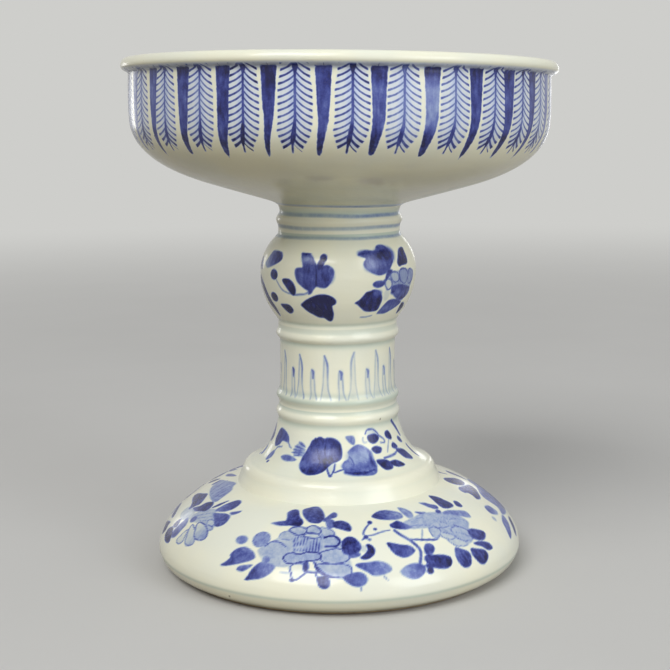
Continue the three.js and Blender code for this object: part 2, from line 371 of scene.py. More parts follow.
class Brush:
    """Paints one section's outside. turn carries a motif round the axis, and flip mirrors it."""

    def __init__(self, section, turn=0.0, flip=False):
        self.section = section
        self.turn = turn
        self.side = -1 if flip else 1
        outer = section.outer
        self.level = np.maximum.accumulate(section.rows[outer, 1]) + np.arange(len(outer)) * 1e-6
        self.level_along = section.row_along[outer]
        self.level_radius = section.rows[outer, 0]
        self.upward = 1 if self.level_along[-1] > self.level_along[0] else -1
        self.reachable = np.isin(section.row, outer)

    def chart(self, points):
        """Flat places in mm for points given in degrees and heights, and for the grid round them."""
        turns = np.radians(self.turn + self.side * np.array([p[0] for p in points], float))
        heights = np.array([p[1] for p in points], float)
        centre = turns[0]
        x = (turns - centre) * np.interp(heights, self.level, self.level_radius)
        y = np.interp(heights, self.level, self.level_along) * self.upward
        away = (self.section.angle - centre + math.pi) % (2 * math.pi) - math.pi
        return x, y, away * self.section.radius, self.section.along * self.upward

    def nearby(self, x, y, grid_x, grid_y, reach):
        near = self.reachable & (grid_x > x.min() - reach) & (grid_x < x.max() + reach)
        return np.flatnonzero(near & (grid_y > y.min() - reach) & (grid_y < y.max() + reach))

    def lay(self, where, distance, ink, soft=EDGE, over=False):
        """Lays ink where distance is below 0. It darkens what is there, or covers it."""
        layer = self.section.paint["ink"]
        cover = 1 - smoothstep(-soft, soft, distance)
        if over:
            layer[where] = layer[where] * (1 - cover) + ink * cover
        else:
            layer[where] = np.maximum(layer[where], ink * cover)

    def touch(self, where, distance, ink, outline, soft=EDGE, over=True):
        """Lays a touch of ink, with a drawn edge of the ink that outline gives."""
        self.lay(where, distance, ink, soft, over)
        if outline:
            self.lay(where, np.abs(distance) - OUTLINE, outline, soft=LINE_EDGE)

    def stroke(self, points, widths, ink, soft=EDGE):
        """A brush stroke through points. widths are half widths at even steps along it."""
        x, y, grid_x, grid_y = self.chart(points)
        path = spline(np.stack([x, y], axis=1), 6)
        share = np.linspace(0, 1, len(path))
        half = np.interp(share, np.linspace(0, 1, len(widths)), widths)
        where = self.nearby(path[:, 0], path[:, 1], grid_x, grid_y, max(widths) + 1)
        if not len(where):
            return
        t, gap = along_path(path, grid_x[where, None], grid_y[where, None])
        distance = gap - (half[:-1] + t * np.diff(half))
        best = distance.argmin(axis=1)
        pick = np.arange(len(where))
        progress = (best + t[pick, best]) / (len(path) - 1)
        amount = np.interp(progress, np.linspace(0, 1, len(np.atleast_1d(ink))), np.atleast_1d(ink))
        self.lay(where, distance[pick, best], amount, soft)

    def leaf(self, tip, base, width, ink):
        """A pointed leaf. ink may be a pair, at the tip and at the base."""
        middle = ((tip[0] + base[0]) / 2, (tip[1] + base[1]) / 2)
        shares = np.linspace(0, 1, 9)
        widths = width * np.sin(math.pi * shares**0.85) ** 0.75
        self.stroke([tip, middle, base], widths, ink)

    def line(self, points, ink, width=0.3):
        """A thin line of nearly even width."""
        self.stroke(points, (width * 0.8, width, width * 0.6), ink, soft=LINE_EDGE)

    def shape(self, points, ink, outline=0.0, over=True):
        """A closed touch through points. ink may be several, from the first point to the farthest."""
        x, y, grid_x, grid_y = self.chart(points)
        path = spline(np.stack([x, y], axis=1), 5, closed=True)
        where = self.nearby(path[:, 0], path[:, 1], grid_x, grid_y, 1.2)
        if not len(where):
            return
        px, py = grid_x[where, None], grid_y[where, None]
        gap = along_path(path, px, py)[1].min(axis=1)
        start, end = path[:-1], path[1:]
        run = end - start
        rise = np.where(abs(run[:, 1]) < 1e-9, 1e-9, run[:, 1])
        crosses = ((start[:, 1] > py) != (end[:, 1] > py)) & (
            px < start[:, 0] + (py - start[:, 1]) * run[:, 0] / rise)
        distance = np.where(crosses.sum(axis=1) % 2 == 1, -gap, gap)
        amount = ink
        if np.ndim(ink):
            far = np.stack([x, y], axis=1)[np.hypot(x - x[0], y - y[0]).argmax()]
            axis = far - (x[0], y[0])
            share = ((px[:, 0] - x[0]) * axis[0] + (py[:, 0] - y[0]) * axis[1]) / max(axis @ axis, 1e-9)
            amount = np.interp(share, np.linspace(0.1, 0.9, len(ink)), ink)
        self.touch(where, distance, amount, outline, over=over)

    def petal(self, centre, across, up, ink, outline=0.0, over=True, soft=EDGE):
        """An oval touch. across and up are half sizes, and outline adds a drawn edge."""
        x, y, grid_x, grid_y = self.chart([centre])
        where = self.nearby(x, y, grid_x, grid_y, max(across, up) + 1 + soft)
        u, v = grid_x[where] - x[0], grid_y[where] - y[0]
        size = np.hypot(u / across, v / up)
        steep = np.hypot(u / across**2, v / up**2) / np.maximum(size, 1e-6)
        self.touch(where, (size - 1) / np.maximum(steep, 1e-6), ink, outline, soft, over)

    def ring(self, height, ink, width):
        """A line all round at one height."""
        section = self.section
        y = np.interp(height, self.level, self.level_along)
        where = np.flatnonzero(self.reachable & (np.abs(section.along - y) < width + 1))
        waver = 0.12 * np.sin(3 * section.angle[where] + height) + 0.07 * np.sin(7 * section.angle[where])
        strength = ink * (1 + 0.25 * np.sin(2 * section.angle[where] + 2 * height))
        self.lay(where, np.abs(section.along[where] - y + waver) - width, strength, soft=0.35)

    def speck(self, turn, height, size):
        """One dark iron speck."""
        x, y, grid_x, grid_y = self.chart([(turn, height)])
        mark = smoothstep(size, 0.4 * size, np.hypot(grid_x - x[0], grid_y - y[0])) * self.reachable
        self.section.paint["speck"] = np.maximum(self.section.paint["speck"], mark)


def repeat(section, turns, *motifs, flip=False):
    """Paints motifs at each of some turns round the axis."""
    for turn in turns:
        brush = Brush(section, turn, flip)
        for motif in motifs:
            motif(brush)


# Motifs of the foot, in degrees from the front and heights

def foot_peony_petals(brush):
    """The pale petals of the full peony left of the front."""
    brush.shape([(-27, 17), (-24, 19), (-19.5, 21.4), (-14, 22.4), (-8, 22.5), (-2.5, 22), (-0.4, 20),
                 (2.6, 17.6), (3.4, 14.5), (0.5, 12.5), (-4, 13), (-7, 15.4), (-11, 15.8), (-16, 15),
                 (-22, 14.6), (-25.5, 15.6)], 0.2)
    brush.shape([(-27.6, 17.1), (-25.7, 18.5), (-22.7, 19.3), (-19.7, 19.1), (-17, 18.3), (-17.3, 16.8),
                 (-17.6, 15.9), (-21, 15.7), (-24.6, 16.2), (-26.3, 16.3)], 0.25)
    brush.line([(-25.5, 18.1), (-24.3, 19), (-22.7, 19.3), (-20.4, 19.1), (-18.4, 18.4)], 0.6)
    brush.shape([(-24.7, 15.3), (-22, 15.6), (-17.3, 15.7), (-14.4, 14.9), (-16.8, 14.2), (-20.4, 14.1),
                 (-22.8, 14.5)], 0.22)
    brush.shape([(-22, 20.3), (-21.3, 21.1), (-19, 21.4), (-16.7, 21.2), (-15, 20.5), (-17.6, 19.9),
                 (-20.3, 19.8)], 0.24, outline=0.4)
    brush.shape([(-16.6, 20.8), (-6.8, 21), (-5.7, 19.4), (-6.4, 18.1), (-9.8, 17.7), (-13.1, 17.6),
                 (-15.4, 17.9), (-16.3, 19.3)], 0.27)
    brush.shape([(-7.3, 22.4), (-5, 22.3), (-2.7, 21.9), (-2.1, 21.3), (-3.2, 20.9), (-5.4, 20.8),
                 (-6.8, 21.4)], 0.22, outline=0.5)
    brush.shape([(-19.2, 21.6), (-18.4, 22.1), (-16, 22.3), (-13.6, 22.2), (-12.2, 21.7), (-13.5, 21.1),
                 (-15.7, 20.9), (-17.6, 21.2)], 0.25, outline=0.7)
    brush.shape([(-12.7, 21.9), (-12.2, 22.4), (-10.4, 22.7), (-8.3, 22.4), (-7, 21.8), (-7.7, 21.3),
                 (-9.9, 21.4), (-11.9, 21.4)], 0.25, outline=0.75)
    for k in range(9):
        brush.line([(-16.3 + 1.21 * k, 20.7), (-15.7 + 1.1 * k, 19.3), (-15 + k, 18)], 0.66, 0.2)
    brush.shape([(-13.2, 20.7), (-12.7, 21.1), (-10.6, 21.3), (-7.9, 21.2), (-7.1, 20.7), (-9.2, 20.5),
                 (-11.8, 20.6)], 0.17, outline=0.62)
    brush.petal((-2.8, 19.9), 2.2, 1.5, 0.26)
    brush.stroke([(-5.4, 20.6), (-3.9, 20.9), (-2, 20.9), (-0.4, 20.4), (0.1, 19.8)], (0.32, 0.32), 0.9)
    brush.stroke([(0.1, 19.8), (-1, 19.1), (-2.8, 19), (-4.7, 19)], (0.32, 0.32), 0.9)
    brush.shape([(-6.5, 17.6), (-3, 18.4), (-0.6, 18.6), (1.8, 18), (3.2, 17), (2.4, 16.1), (0.1, 15.6),
                 (-2.8, 15.5), (-5.5, 15.9)], 0.25, outline=0.7)
    brush.shape([(-7, 15.2), (-3, 15.4), (0.1, 15.4), (2.8, 15), (3.6, 14), (2.9, 12.8), (0.7, 12.3),
                 (-1.7, 12.4), (-3.5, 12.9), (-5.2, 13.8)], 0.25, outline=0.6)
    brush.shape([(-18, 16.1), (-17.3, 17), (-15.4, 17.4), (-13, 17.2), (-10.8, 17.7), (-8.1, 17.8),
                 (-6.2, 17.3), (-6.3, 16.5), (-7.8, 16.1), (-10, 15.9), (-12.4, 15.6), (-14.9, 15.1),
                 (-16.9, 15.3)], 0.3, outline=0.85)
    brush.shape([(-15.2, 14.3), (-13.5, 15.2), (-10.9, 15.1), (-10.1, 13.4), (-11.3, 12.4), (-12.4, 11.6),
                 (-13.9, 11.4), (-14.5, 12.8)], 0.05, outline=0.75)


def foot_peony(brush):
    """The full peony left of the front, with its leaves."""
    foot_peony_petals(brush)
    brush.petal((-14, 11.3), 0.6, 0.5, 0.95)
    brush.line([(-17.9, 12.9), (-16.4, 12.9), (-14.8, 12.9)], 0.25)
    brush.leaf((-10.5, 15.9), (-10.3, 13.3), 0.9, 0.8)
    brush.line([(-7.8, 15.6), (-6.6, 14), (-3.8, 12.7), (-0.3, 12.3)], 0.8, 0.35)
    brush.line([(-10.2, 13.5), (-7.3, 13.4), (-5.6, 13.8)], 0.75)
    brush.line([(-7.3, 13.5), (-6.9, 12.8), (-6.5, 12.2)], 0.75)
    brush.shape([(-6.6, 12.2), (-5.4, 12.6), (-3.7, 12.5), (-2.9, 11.4), (-3.1, 10.1), (-4.2, 9.5),
                 (-5.6, 9.9), (-6.3, 10.8)], 0.85)
    brush.shape([(-28, 22.4), (-25.2, 22.9), (-22.5, 23.2), (-23.2, 24), (-24, 24.5), (-21.8, 25),
                 (-19.5, 24.9), (-17.6, 24.1), (-15.3, 23.4), (-15, 22.8), (-16.3, 22.4), (-20, 22.4),
                 (-24, 22.2)], (0.45, 0.8, 0.95))
    brush.shape([(-17.6, 25), (-15.3, 25.4), (-12.5, 25.6), (-10, 25.5), (-7.6, 24.9), (-6.5, 24.1),
                 (-7.8, 23.3), (-9.8, 23.1), (-12.6, 23.3), (-15.6, 24.1)], (0.72, 0.85))
    brush.shape([(-7.2, 23.6), (-5.6, 24.2), (-3.9, 24.7), (-2.6, 24.9), (-1.2, 24.7), (-1.4, 24.2),
                 (-3.6, 23.9), (-5.1, 23.4)], 0.66)
    brush.shape([(-5.6, 23.7), (-2.5, 23.7), (-2, 22.6), (-4.2, 22.3), (-5.3, 22.8)], 0.6)
    brush.shape([(-2.7, 23.3), (-0.2, 23.6), (1.9, 23.5), (3.6, 23.1), (4.5, 22.4), (4, 21.8), (2.2, 21.9),
                 (0.1, 22.2), (-2, 22.5)], (0.88, 0.95))
    brush.shape([(-38.5, 12.2), (-37.3, 13.1), (-36.2, 14.3), (-36.6, 15.1), (-35.6, 16.4), (-33.3, 17.2),
                 (-31, 17.1), (-28.7, 16.5), (-27.5, 15.5), (-28.4, 14.7), (-30.4, 14), (-32.7, 13.3),
                 (-34.9, 12.7), (-37, 12.2)], (0.78, 0.52))
    brush.petal((-35.5, 18.5), 2.1, 1.5, 0.42)
    brush.petal((-28.2, 19.3), 2.6, 2.5, 0.4, outline=0.5)
    brush.shape([(-32.3, 12), (-31.5, 13), (-29.6, 13.5), (-27.6, 13.8), (-27.7, 13.3), (-28.9, 12.4),
                 (-30.2, 11.8)], 0.55)
    brush.shape([(-28.4, 9.9), (-27.9, 11), (-27.2, 12.6), (-26, 14), (-24.4, 14.7), (-20.2, 14.3),
                 (-20.3, 13), (-21.8, 11.7), (-23.7, 10.8), (-26, 10.3)], (0.95, 0.6, 0.42))
    brush.petal((-23.6, 15.3), 1.2, 1.2, 0.48)
    brush.shape([(3.2, 17.5), (6, 17.8), (6.6, 17.1), (5, 16.7), (3.3, 16.7)], 0.55)
    brush.shape([(0.6, 19.2), (1.2, 20.2), (3.1, 20.8), (5.3, 20.5), (6.9, 19.5), (7.1, 18.5), (5.8, 17.7),
                 (3.4, 17.3), (1.4, 17.6)], (0.92, 0.75))
    brush.petal((7.9, 18.4), 1.0, 1.2, 0.12, over=False)
    brush.shape([(9.3, 19.3), (10.7, 19), (11.5, 18.2), (11.1, 17.2), (9.4, 16.4), (7.7, 16.2), (6.5, 16.6),
                 (7.6, 17.1), (9, 17.9), (9.3, 18.5), (9, 18.9)], 0.95)
    brush.shape([(4.8, 15.2), (6.6, 15.5), (9.1, 15.6), (11.7, 15.7), (13.9, 15.3), (15.5, 14.3),
                 (15.6, 13.4), (14.2, 12.8), (11.7, 12.4), (9.8, 12.5), (8.5, 13.2), (7.1, 13.9),
                 (5.3, 14.7)], (0.68, 0.36))
    brush.line([(12.9, 12.2), (13.4, 11.7), (13.9, 11.1)], 0.3)
    brush.shape([(1, 12.4), (3.1, 13.2), (5.5, 13.5), (7.2, 13), (8, 11.8), (7.6, 10.8), (6.1, 10),
                 (4.1, 10.1), (2.4, 10.9), (1.4, 11.7)], (0.75, 0.5))
    brush.line([(6, 9.8), (6, 9.4), (6, 9)], 0.4)


def foot_branch(brush):
    """The branch with buds and leaves between the two peonies."""
    for bud, size, ink in (((12.2, 23.1), 0.7, 0.85), ((13.5, 21.9), 0.5, 0.8),
                           ((9.4, 20.6), 0.7, 0.75), ((10.5, 20.1), 0.5, 0.5)):
        brush.petal(bud, size, size, ink)
    brush.line([(11.8, 22.9), (10, 22.2), (8.7, 21.3), (9.3, 20.6)], 0.55)
    brush.line([(9.3, 20.6), (8.5, 20.3), (7.8, 20.1)], 0.55)
    brush.line([(9.9, 20.8), (12.2, 20.9), (15.5, 21.3), (18.9, 21.5)], 0.55)
    brush.stroke([(20.7, 21.3), (22.4, 20.3), (24.4, 19.3), (26, 18.1), (26.7, 16.9), (26.2, 15.7),
                  (25, 14.1)], (0.45, 0.45), 0.6)
    brush.line([(24.6, 19.3), (28.5, 18.9), (32.2, 18.5), (34.7, 18.3), (36.8, 18.8)], 0.64, 0.35)
    brush.line([(31.5, 20.6), (30.4, 19.8), (29.4, 19.1)], 0.3)
    brush.shape([(19.8, 22.4), (21.8, 22.7), (23.8, 22.9), (26, 22.3), (27.6, 21.8), (28.3, 21.5),
                 (26.3, 21.2), (24, 21.3), (21.8, 21.6), (20.2, 21.9)], (0.92, 0.5))
    brush.shape([(16.2, 19.2), (18.4, 19), (21, 18.5), (23.8, 18.1), (24.9, 17.3), (24.8, 16.8), (23, 16.1),
                 (20.6, 15.8), (18.6, 16.4), (17.3, 17.3), (16.6, 18.2)], (0.85, 0.6))
    brush.shape([(29.7, 17.9), (31.7, 17.6), (32.2, 16.7), (30.6, 15.7), (28.3, 15.7), (28.2, 16.8)], 0.72)
    brush.shape([(27, 14.8), (28.2, 15.6), (30.8, 15.3), (33.8, 14.9), (36, 14.1), (36.2, 13.1), (35, 12),
                 (32.8, 11.7), (30, 12.2), (28, 13.1)], (0.8, 0.95))
    brush.shape([(18.1, 13), (20, 13.9), (22.6, 14.3), (24.9, 14), (26.4, 13), (25.6, 11.7), (23.6, 10.7),
                 (21.6, 10.6), (19.6, 11.3), (18.4, 12.1)], (0.36, 0.62))
    brush.leaf((26.5, 13.4), (29.2, 12.5), 0.7, 0.75)
    brush.petal((27.6, 11.9), 1.1, 0.9, 0.92)


def foot_second_peony(brush):
    """The wide peony to the right, seen from its side."""
    brush.shape([(25.5, 22.3), (27.5, 22.7), (31.5, 23), (35, 23.3), (39, 23.3), (43, 23), (46.5, 22.6),
                 (50, 22), (53, 20.8), (54, 19.4), (52, 18.6), (49, 17.2), (49, 15.9), (45.5, 15.4),
                 (41.5, 15.7), (39, 17.4), (37, 18.5), (34, 19), (34.8, 20.5), (31, 20.9), (27.3, 21.2)],
                 0.27)
    brush.line([(27.8, 21.7), (32, 21.5), (36.2, 21)], 0.42, 0.28)
    brush.line([(29, 22.3), (33, 22.7), (37, 22.6)], 0.36, 0.25)
    brush.shape([(34.8, 20.7), (34, 19.6), (34.5, 18.8), (37, 19), (38.6, 19.7), (37.6, 20.4)], 0.24,
                 outline=0.46)
    brush.shape([(38, 19.3), (41.5, 18.6), (42.5, 17.7), (40, 17.6), (37.5, 18.5)], 0.2, outline=0.46)
    brush.shape([(39, 17.6), (39.5, 16.9), (41, 15.9), (45, 15.4), (45.6, 16.1), (43, 17.3)], 0.17,
                 outline=0.44)
    brush.shape([(43.7, 19.5), (47.8, 19.3), (50, 18), (50.2, 16.3), (46, 16.2), (43.3, 17.4),
                 (42.8, 18.7)], 0.26, outline=0.54)
    brush.line([(44, 18.6), (46.5, 17.9), (48.5, 17)], 0.4, 0.22)
    brush.line([(47, 21.1), (49.8, 20.8), (52.4, 20.1), (53.2, 19.2)], 0.42, 0.25)
    brush.line([(45.8, 20), (48.5, 19), (50.2, 18.1)], 0.55, 0.3)
    for k in range(6):
        brush.line([(39.2 + 1.4 * k, 21.9), (40.2 + 1.3 * k, 21.2), (39.8 + 1.1 * k, 20.4)], 0.42, 0.2)
    brush.line([(36.9, 20.9), (38.5, 20.3), (41, 20.1), (43.6, 20)], 0.52, 0.28)
    brush.shape([(46.5, 22.5), (49.5, 22.6), (53, 22.2), (57, 21.6), (58.6, 21), (58.1, 20.1), (57, 19.9),
                 (54.5, 20.5), (52, 21.2), (49.5, 21.8), (47, 22.1)], (0.58, 0.46, 0.4))
    brush.shape([(14, 24.1), (17.5, 24.7), (21.4, 24.8), (25, 24.5), (27.3, 24.1), (27.3, 23.4),
                 (24.4, 23.1), (21.1, 23.2), (17.8, 23.4), (15.3, 23.7)], (0.85, 0.4))
    brush.shape([(28.2, 24.9), (30.5, 24.7), (32, 24.3), (32.6, 23.8), (31.7, 23.1), (29.5, 23),
                 (28.5, 23.5), (28, 24.1)], (0.42, 0.34))
    brush.shape([(41, 24.9), (44, 24.7), (45.5, 24.3), (47.5, 23.9), (47, 23.4), (45, 23.4), (43, 23.9),
                 (42, 24.4)], (0.5, 0.68))
    brush.petal((45, 22.9), 1.0, 0.8, 0.68)
    brush.stroke([(34.6, 23.7), (36.4, 23.4), (38.4, 23.3)], (0.3, 0.6, 0.3), 0.62, soft=0.4)
    brush.shape([(52, 25.3), (55, 24.8), (55.7, 24.1), (56.5, 23.3), (55.5, 22.8), (52, 22.8), (49.5, 23.1),
                 (49, 23.7), (50, 24.6)], (1.0, 0.8))
    brush.shape([(59.5, 23.4), (61, 23.1), (61, 22.6), (60, 22.1), (58, 22.3), (57.5, 22.8)], 0.9)
    brush.shape([(51.2, 18.2), (54, 17.7), (57, 16.5), (56.6, 15.6), (54, 15), (50.6, 15.7), (49.1, 16.7),
                 (49.5, 17.6)], (0.7, 0.92))
    brush.shape([(48.5, 15.3), (52, 15), (55.3, 13.9), (55.8, 12.4), (53, 12.5), (51, 13.9), (49, 14.7)],
                 0.85)
    brush.shape([(45.8, 14.4), (48, 13.9), (51.2, 12.9), (51.8, 11.3), (49.5, 9.9), (47.5, 9.8), (46, 11),
                 (45, 12.9)], (0.85, 0.95))
    brush.shape([(39.9, 15.7), (42, 15), (44.3, 13.7), (43.8, 12), (42.3, 10.6), (40, 10.6), (38.6, 12),
                 (38.4, 14)], (0.6, 0.95))


def foot_far_spray(brush):
    """The spray on the right side: a broad bloom seen edge on, with leaves round it."""
    brush.shape([(98, 22.5), (93, 21.6), (86, 21.3), (82.5, 20.6), (82, 19.6), (83, 17.6), (82, 16.8),
                 (80, 15.9), (84, 15), (90, 14.4), (98, 14.4), (106, 16), (108, 19), (105, 21.5)], 0.52)
    for points in ([(91, 21.4), (87.5, 20), (86, 18.4), (85.5, 16.4)],
                   [(96, 21.8), (92, 20), (89.5, 18), (89, 15.8)],
                   [(101, 21.2), (97, 19), (94, 17), (92.5, 15.2)],
                   [(84, 20.4), (88, 19.4), (92, 17.4), (97, 16)]):
        brush.line(points, 0.78, 0.26)
    brush.shape([(82, 25.4), (86, 25.5), (89.5, 25), (92, 24.3), (90, 23.6), (85, 23.6), (81, 24.2),
                 (80, 24.9)], (0.98, 0.85))
    brush.shape([(74.5, 23.9), (78, 24.1), (84, 23.5), (88.5, 22.9), (88, 22.1), (84.5, 21.6), (78.5, 21),
                 (75, 21.4), (76, 22.2), (76, 22.9), (74, 23.3)], (0.75, 0.98))
    brush.shape([(105, 24.8), (103, 24.2), (100, 23.2), (97, 22.9), (98, 23.9), (100, 24.8)], 0.9)
    brush.line([(98, 26.4), (97, 25.8), (96, 25.2)], 0.75, 0.5)
    brush.shape([(72.5, 19.7), (71.5, 19), (72, 18), (75.5, 17), (78, 17.2), (77.8, 18.2), (77, 19.2),
                 (74.5, 19.7)], (0.66, 0.42))
    brush.petal((70, 17.1), 1.0, 1.0, 0.24)
    brush.shape([(78.5, 16), (80, 15.4), (78.5, 13.9), (75, 12.5), (72.5, 11.6), (70, 11.2), (70.5, 12.6),
                 (72, 14.1), (74, 15.4)], (0.5, 0.68))
    brush.shape([(86, 13.5), (84, 12.2), (80, 10.5), (77.5, 9.8), (77.5, 10.9), (80, 12.7), (82.5, 13.8)],
                 0.92)


def foot_side_spray(brush):
    """The spray on the left side: a fan-shaped bloom, drooping petals under it, and dark leaves."""
    brush.shape([(-75, 16.8), (-80, 17.4), (-80, 19), (-76, 19.8), (-70, 19.6), (-68, 18.6), (-70, 17.6)],
                 0.2)
    brush.shape([(-83, 23), (-87, 23.2), (-95, 24), (-88, 25), (-80, 25.6), (-75, 25.3), (-70, 25),
                 (-67, 24.1), (-66, 22.8), (-73, 22.7)], (0.36, 0.44))
    for low, high in (((-81, 23.1), (-89, 25)), ((-77, 23.1), (-83, 25.4)), ((-74, 23.1), (-78, 25.5)),
                      ((-71, 23), (-74, 25.1)), ((-68.5, 23), (-70, 24.8))):
        brush.line([low, high], 0.62, 0.26)
    brush.shape([(-69, 18.6), (-68, 20.3), (-64.5, 21.4), (-60, 22), (-57, 21.4), (-54, 20.7), (-51.5, 20),
                 (-51.5, 18.8), (-55, 18.4), (-60, 18.6), (-65, 18.2)], 0.24)
    for points in ([(-66.5, 19.4), (-62.5, 20.5), (-59.5, 21.3)], [(-64, 19.2), (-60.5, 20.1), (-57, 20.9)],
                   [(-61.5, 19.1), (-58, 19.7), (-55, 20.3)]):
        brush.line(points, 0.44, 0.24)
    brush.shape([(-57, 20), (-53.5, 20.3), (-52.5, 19.4), (-55.5, 18.9)], 0.2, outline=0.5)
    brush.shape([(-55.5, 19), (-52.5, 19.2), (-51.2, 18.6), (-54, 18.2)], 0.22, outline=0.55)
    brush.shape([(-64, 15.9), (-64.5, 14.6), (-65, 13.4), (-64, 12.8), (-62, 12.9), (-61, 13.8),
                 (-61.8, 15), (-63, 16.4)], (0.06, 0.14), outline=0.5)
    brush.shape([(-63.5, 17.7), (-59.5, 17.2), (-56.5, 16), (-54.8, 14.8), (-55.5, 14), (-57.5, 13.5),
                 (-59.5, 14), (-61, 15.3), (-62.7, 16.6)], (0.07, 0.22), outline=0.55)
    brush.shape([(-61, 18.2), (-60.3, 18.9), (-57, 18.9), (-54, 18.5), (-52, 17.8), (-51, 16.8), (-52, 16),
                 (-55.2, 15.7), (-57.5, 16.2), (-59.3, 17.3)], (0.08, 0.36), outline=0.65)
    brush.petal((-66, 18.6), 1.5, 1.3, 0.58)
    brush.shape([(-71, 18), (-68.5, 17.8), (-66.8, 16.8), (-67, 15.3), (-67.3, 13.6), (-69.5, 12.7),
                 (-71.5, 13.4), (-72, 15), (-71.5, 16.6)], (0.5, 0.66))
    brush.shape([(-76, 14.7), (-76, 16), (-74.5, 16.8), (-72.5, 15.7), (-73, 14.8)], 0.88)
    brush.shape([(-73.5, 10.6), (-77, 11.5), (-78, 13), (-76, 14.2), (-74, 14.4), (-70.5, 12.8),
                 (-69.5, 11.2)], 0.98)
    brush.shape([(-82, 10.3), (-86, 11.3), (-88, 12.5), (-82, 14), (-81.5, 13.2), (-80, 12)], 0.92)
    brush.shape([(-87, 14.5), (-92, 14.8), (-97, 16), (-93, 16.6), (-86, 15.8), (-84, 14.9)], 0.88)
    brush.shape([(-77, 19), (-81, 19.9), (-89, 20.1), (-90, 20.8), (-84, 22), (-80, 22.6), (-76, 21.9),
                 (-74, 21), (-75.5, 20.1)], (0.85, 1.0))
    brush.shape([(-75, 19.8), (-72, 20.9), (-71, 21.9), (-67.5, 22.6), (-65, 22.3), (-64, 21.5),
                 (-65, 20.8), (-67.5, 20.4), (-70.5, 19.8)], (0.7, 0.98))
    brush.stroke([(-63, 22), (-61.5, 22.8), (-60, 23.8)], (0.3, 0.7, 0.3), 0.82)
    brush.shape([(-59.5, 21.8), (-59, 22.9), (-58, 23.6), (-55.5, 24.5), (-52, 24.4), (-51, 23.4),
                 (-53, 22.5), (-56, 22)], (0.5, 0.8))
    brush.shape([(-50.5, 22.5), (-47.5, 23.1), (-46, 23.3), (-46.3, 22.8), (-48.5, 22.2)], 0.6)
    brush.shape([(-58.5, 21.3), (-55, 21.8), (-51.5, 22.1), (-48.5, 21.9), (-47.6, 21), (-48, 20.2),
                 (-49.5, 19.6), (-51.5, 19.5), (-53.5, 20.1), (-56, 20.8)], (0.6, 0.74))
    brush.leaf((-101, 22.1), (-97, 24), 1.3, 0.88)
    brush.leaf((-104, 24.4), (-94, 25.6), 1.2, 0.6)
    brush.leaf((-91, 23.2), (-94, 24.2), 0.9, 0.8)
    brush.leaf((-99, 18), (-100, 20.4), 0.9, 0.85)


# Motifs of the skirt

def skirt_blooms(brush):
    """Two broad blooms side by side at the front, each with a painted highlight of lighter ink."""
    brush.shape([(-36, 42), (-39.5, 40.8), (-39, 38.8), (-29.5, 38.4), (-28.5, 40.4)], 0.25)
    for turn, height, across in ((-36.5, 42.6, 0.5), (-40, 41.2, 0.42), (-41, 40.1, 0.38),
                                 (-41.5, 39.2, 0.42), (-39, 38.4, 0.35)):
        brush.leaf((turn, height), (-28.5, 0.5 * height + 19.9), across, (0.5, 0.65))
    brush.leaf((-51, 37.4), (-34, 37.3), 1.1, 0.5)
    brush.shape([(-30, 36.5), (-29.8, 38.2), (-28, 39.5), (-26.5, 41), (-25, 42), (-23.4, 43.4),
                 (-20, 44.1), (-16.3, 44.7), (-12.5, 44.2), (-9, 44.5), (-3.5, 44.3), (1, 43.1),
                 (2.6, 41.5), (2.8, 39.8), (1.8, 38.4), (-1.5, 37.6), (-4.5, 37.2), (-7, 36.4), (-9, 35.6),
                 (-12, 34.7), (-16, 34.1), (-21, 33.9), (-25.5, 34.4), (-28.8, 35.3)], 0.85)
    brush.petal((-20, 38), 2.8, 2.0, 0.7, soft=1.2)
    brush.petal((-25.5, 36.4), 1.8, 1.4, 0.62, soft=0.9)
    # A lighter patch of ink in the left bloom: a painted highlight where a reflection falls.
    brush.petal((-10, 40.6), 2.6, 2.0, 0.66, soft=1.2)
    brush.petal((-8, 38), 1.7, 1.5, 0.97)
    brush.line([(-20.5, 44), (-17, 40), (-14, 37), (-12, 35)], 0.97)
    brush.line([(-10, 44.3), (-11.5, 41), (-10, 38.5), (-8, 37)], 0.97)
    brush.shape([(-8.4, 35.6), (-6.7, 34.3), (-5.7, 33.8), (-3.6, 35.3), (-2.9, 36.9), (-6, 36.6)], 0.1)
    brush.line([(-8.4, 35.6), (-6.7, 34.3), (-5.7, 33.8)], 0.8)
    brush.line([(-2.9, 36.9), (-3.6, 35.3), (-5.7, 33.8)], 0.8)
    brush.petal((-5.7, 33.9), 0.5, 0.4, 0.8)
    brush.line([(-2.8, 34.8), (0.7, 35.3), (4, 35.6)], 0.7)
    brush.shape([(7.5, 40.3), (12.5, 41.8), (17, 42.3), (22, 41.6), (26.8, 40), (27.4, 38.2), (28.6, 36.6),
                 (27, 34.5), (22.5, 33.7), (15, 33.8), (8, 34.2), (4, 35.1), (2.4, 36.3), (4, 37.6),
                 (7.5, 38.4), (8.4, 39.5)], 0.58)
    # A lighter patch of ink in the right bloom: a painted highlight where glare falls.
    brush.petal((16, 38.6), 3.6, 2.5, 0.36, soft=1.5)
    brush.petal((5.8, 36.4), 1.6, 1.1, 0.38, soft=0.7)
    brush.stroke([(5, 34.8), (10, 34.5), (17, 34.4), (25, 34.9)], (0.5, 0.8, 0.9, 0.6), 0.92, soft=0.8)
    brush.stroke([(26, 39.6), (25.6, 37.8), (26.4, 36)], (0.5, 0.8, 0.8), 0.85, soft=0.8)
    brush.line([(8.4, 39), (10.5, 37.8), (11.5, 36.2)], 0.66, 0.3)
    brush.shape([(6.5, 44.9), (12.7, 45), (14.5, 43.8), (13.4, 42.3), (10, 42.8), (7, 44)], (0.42, 0.5))


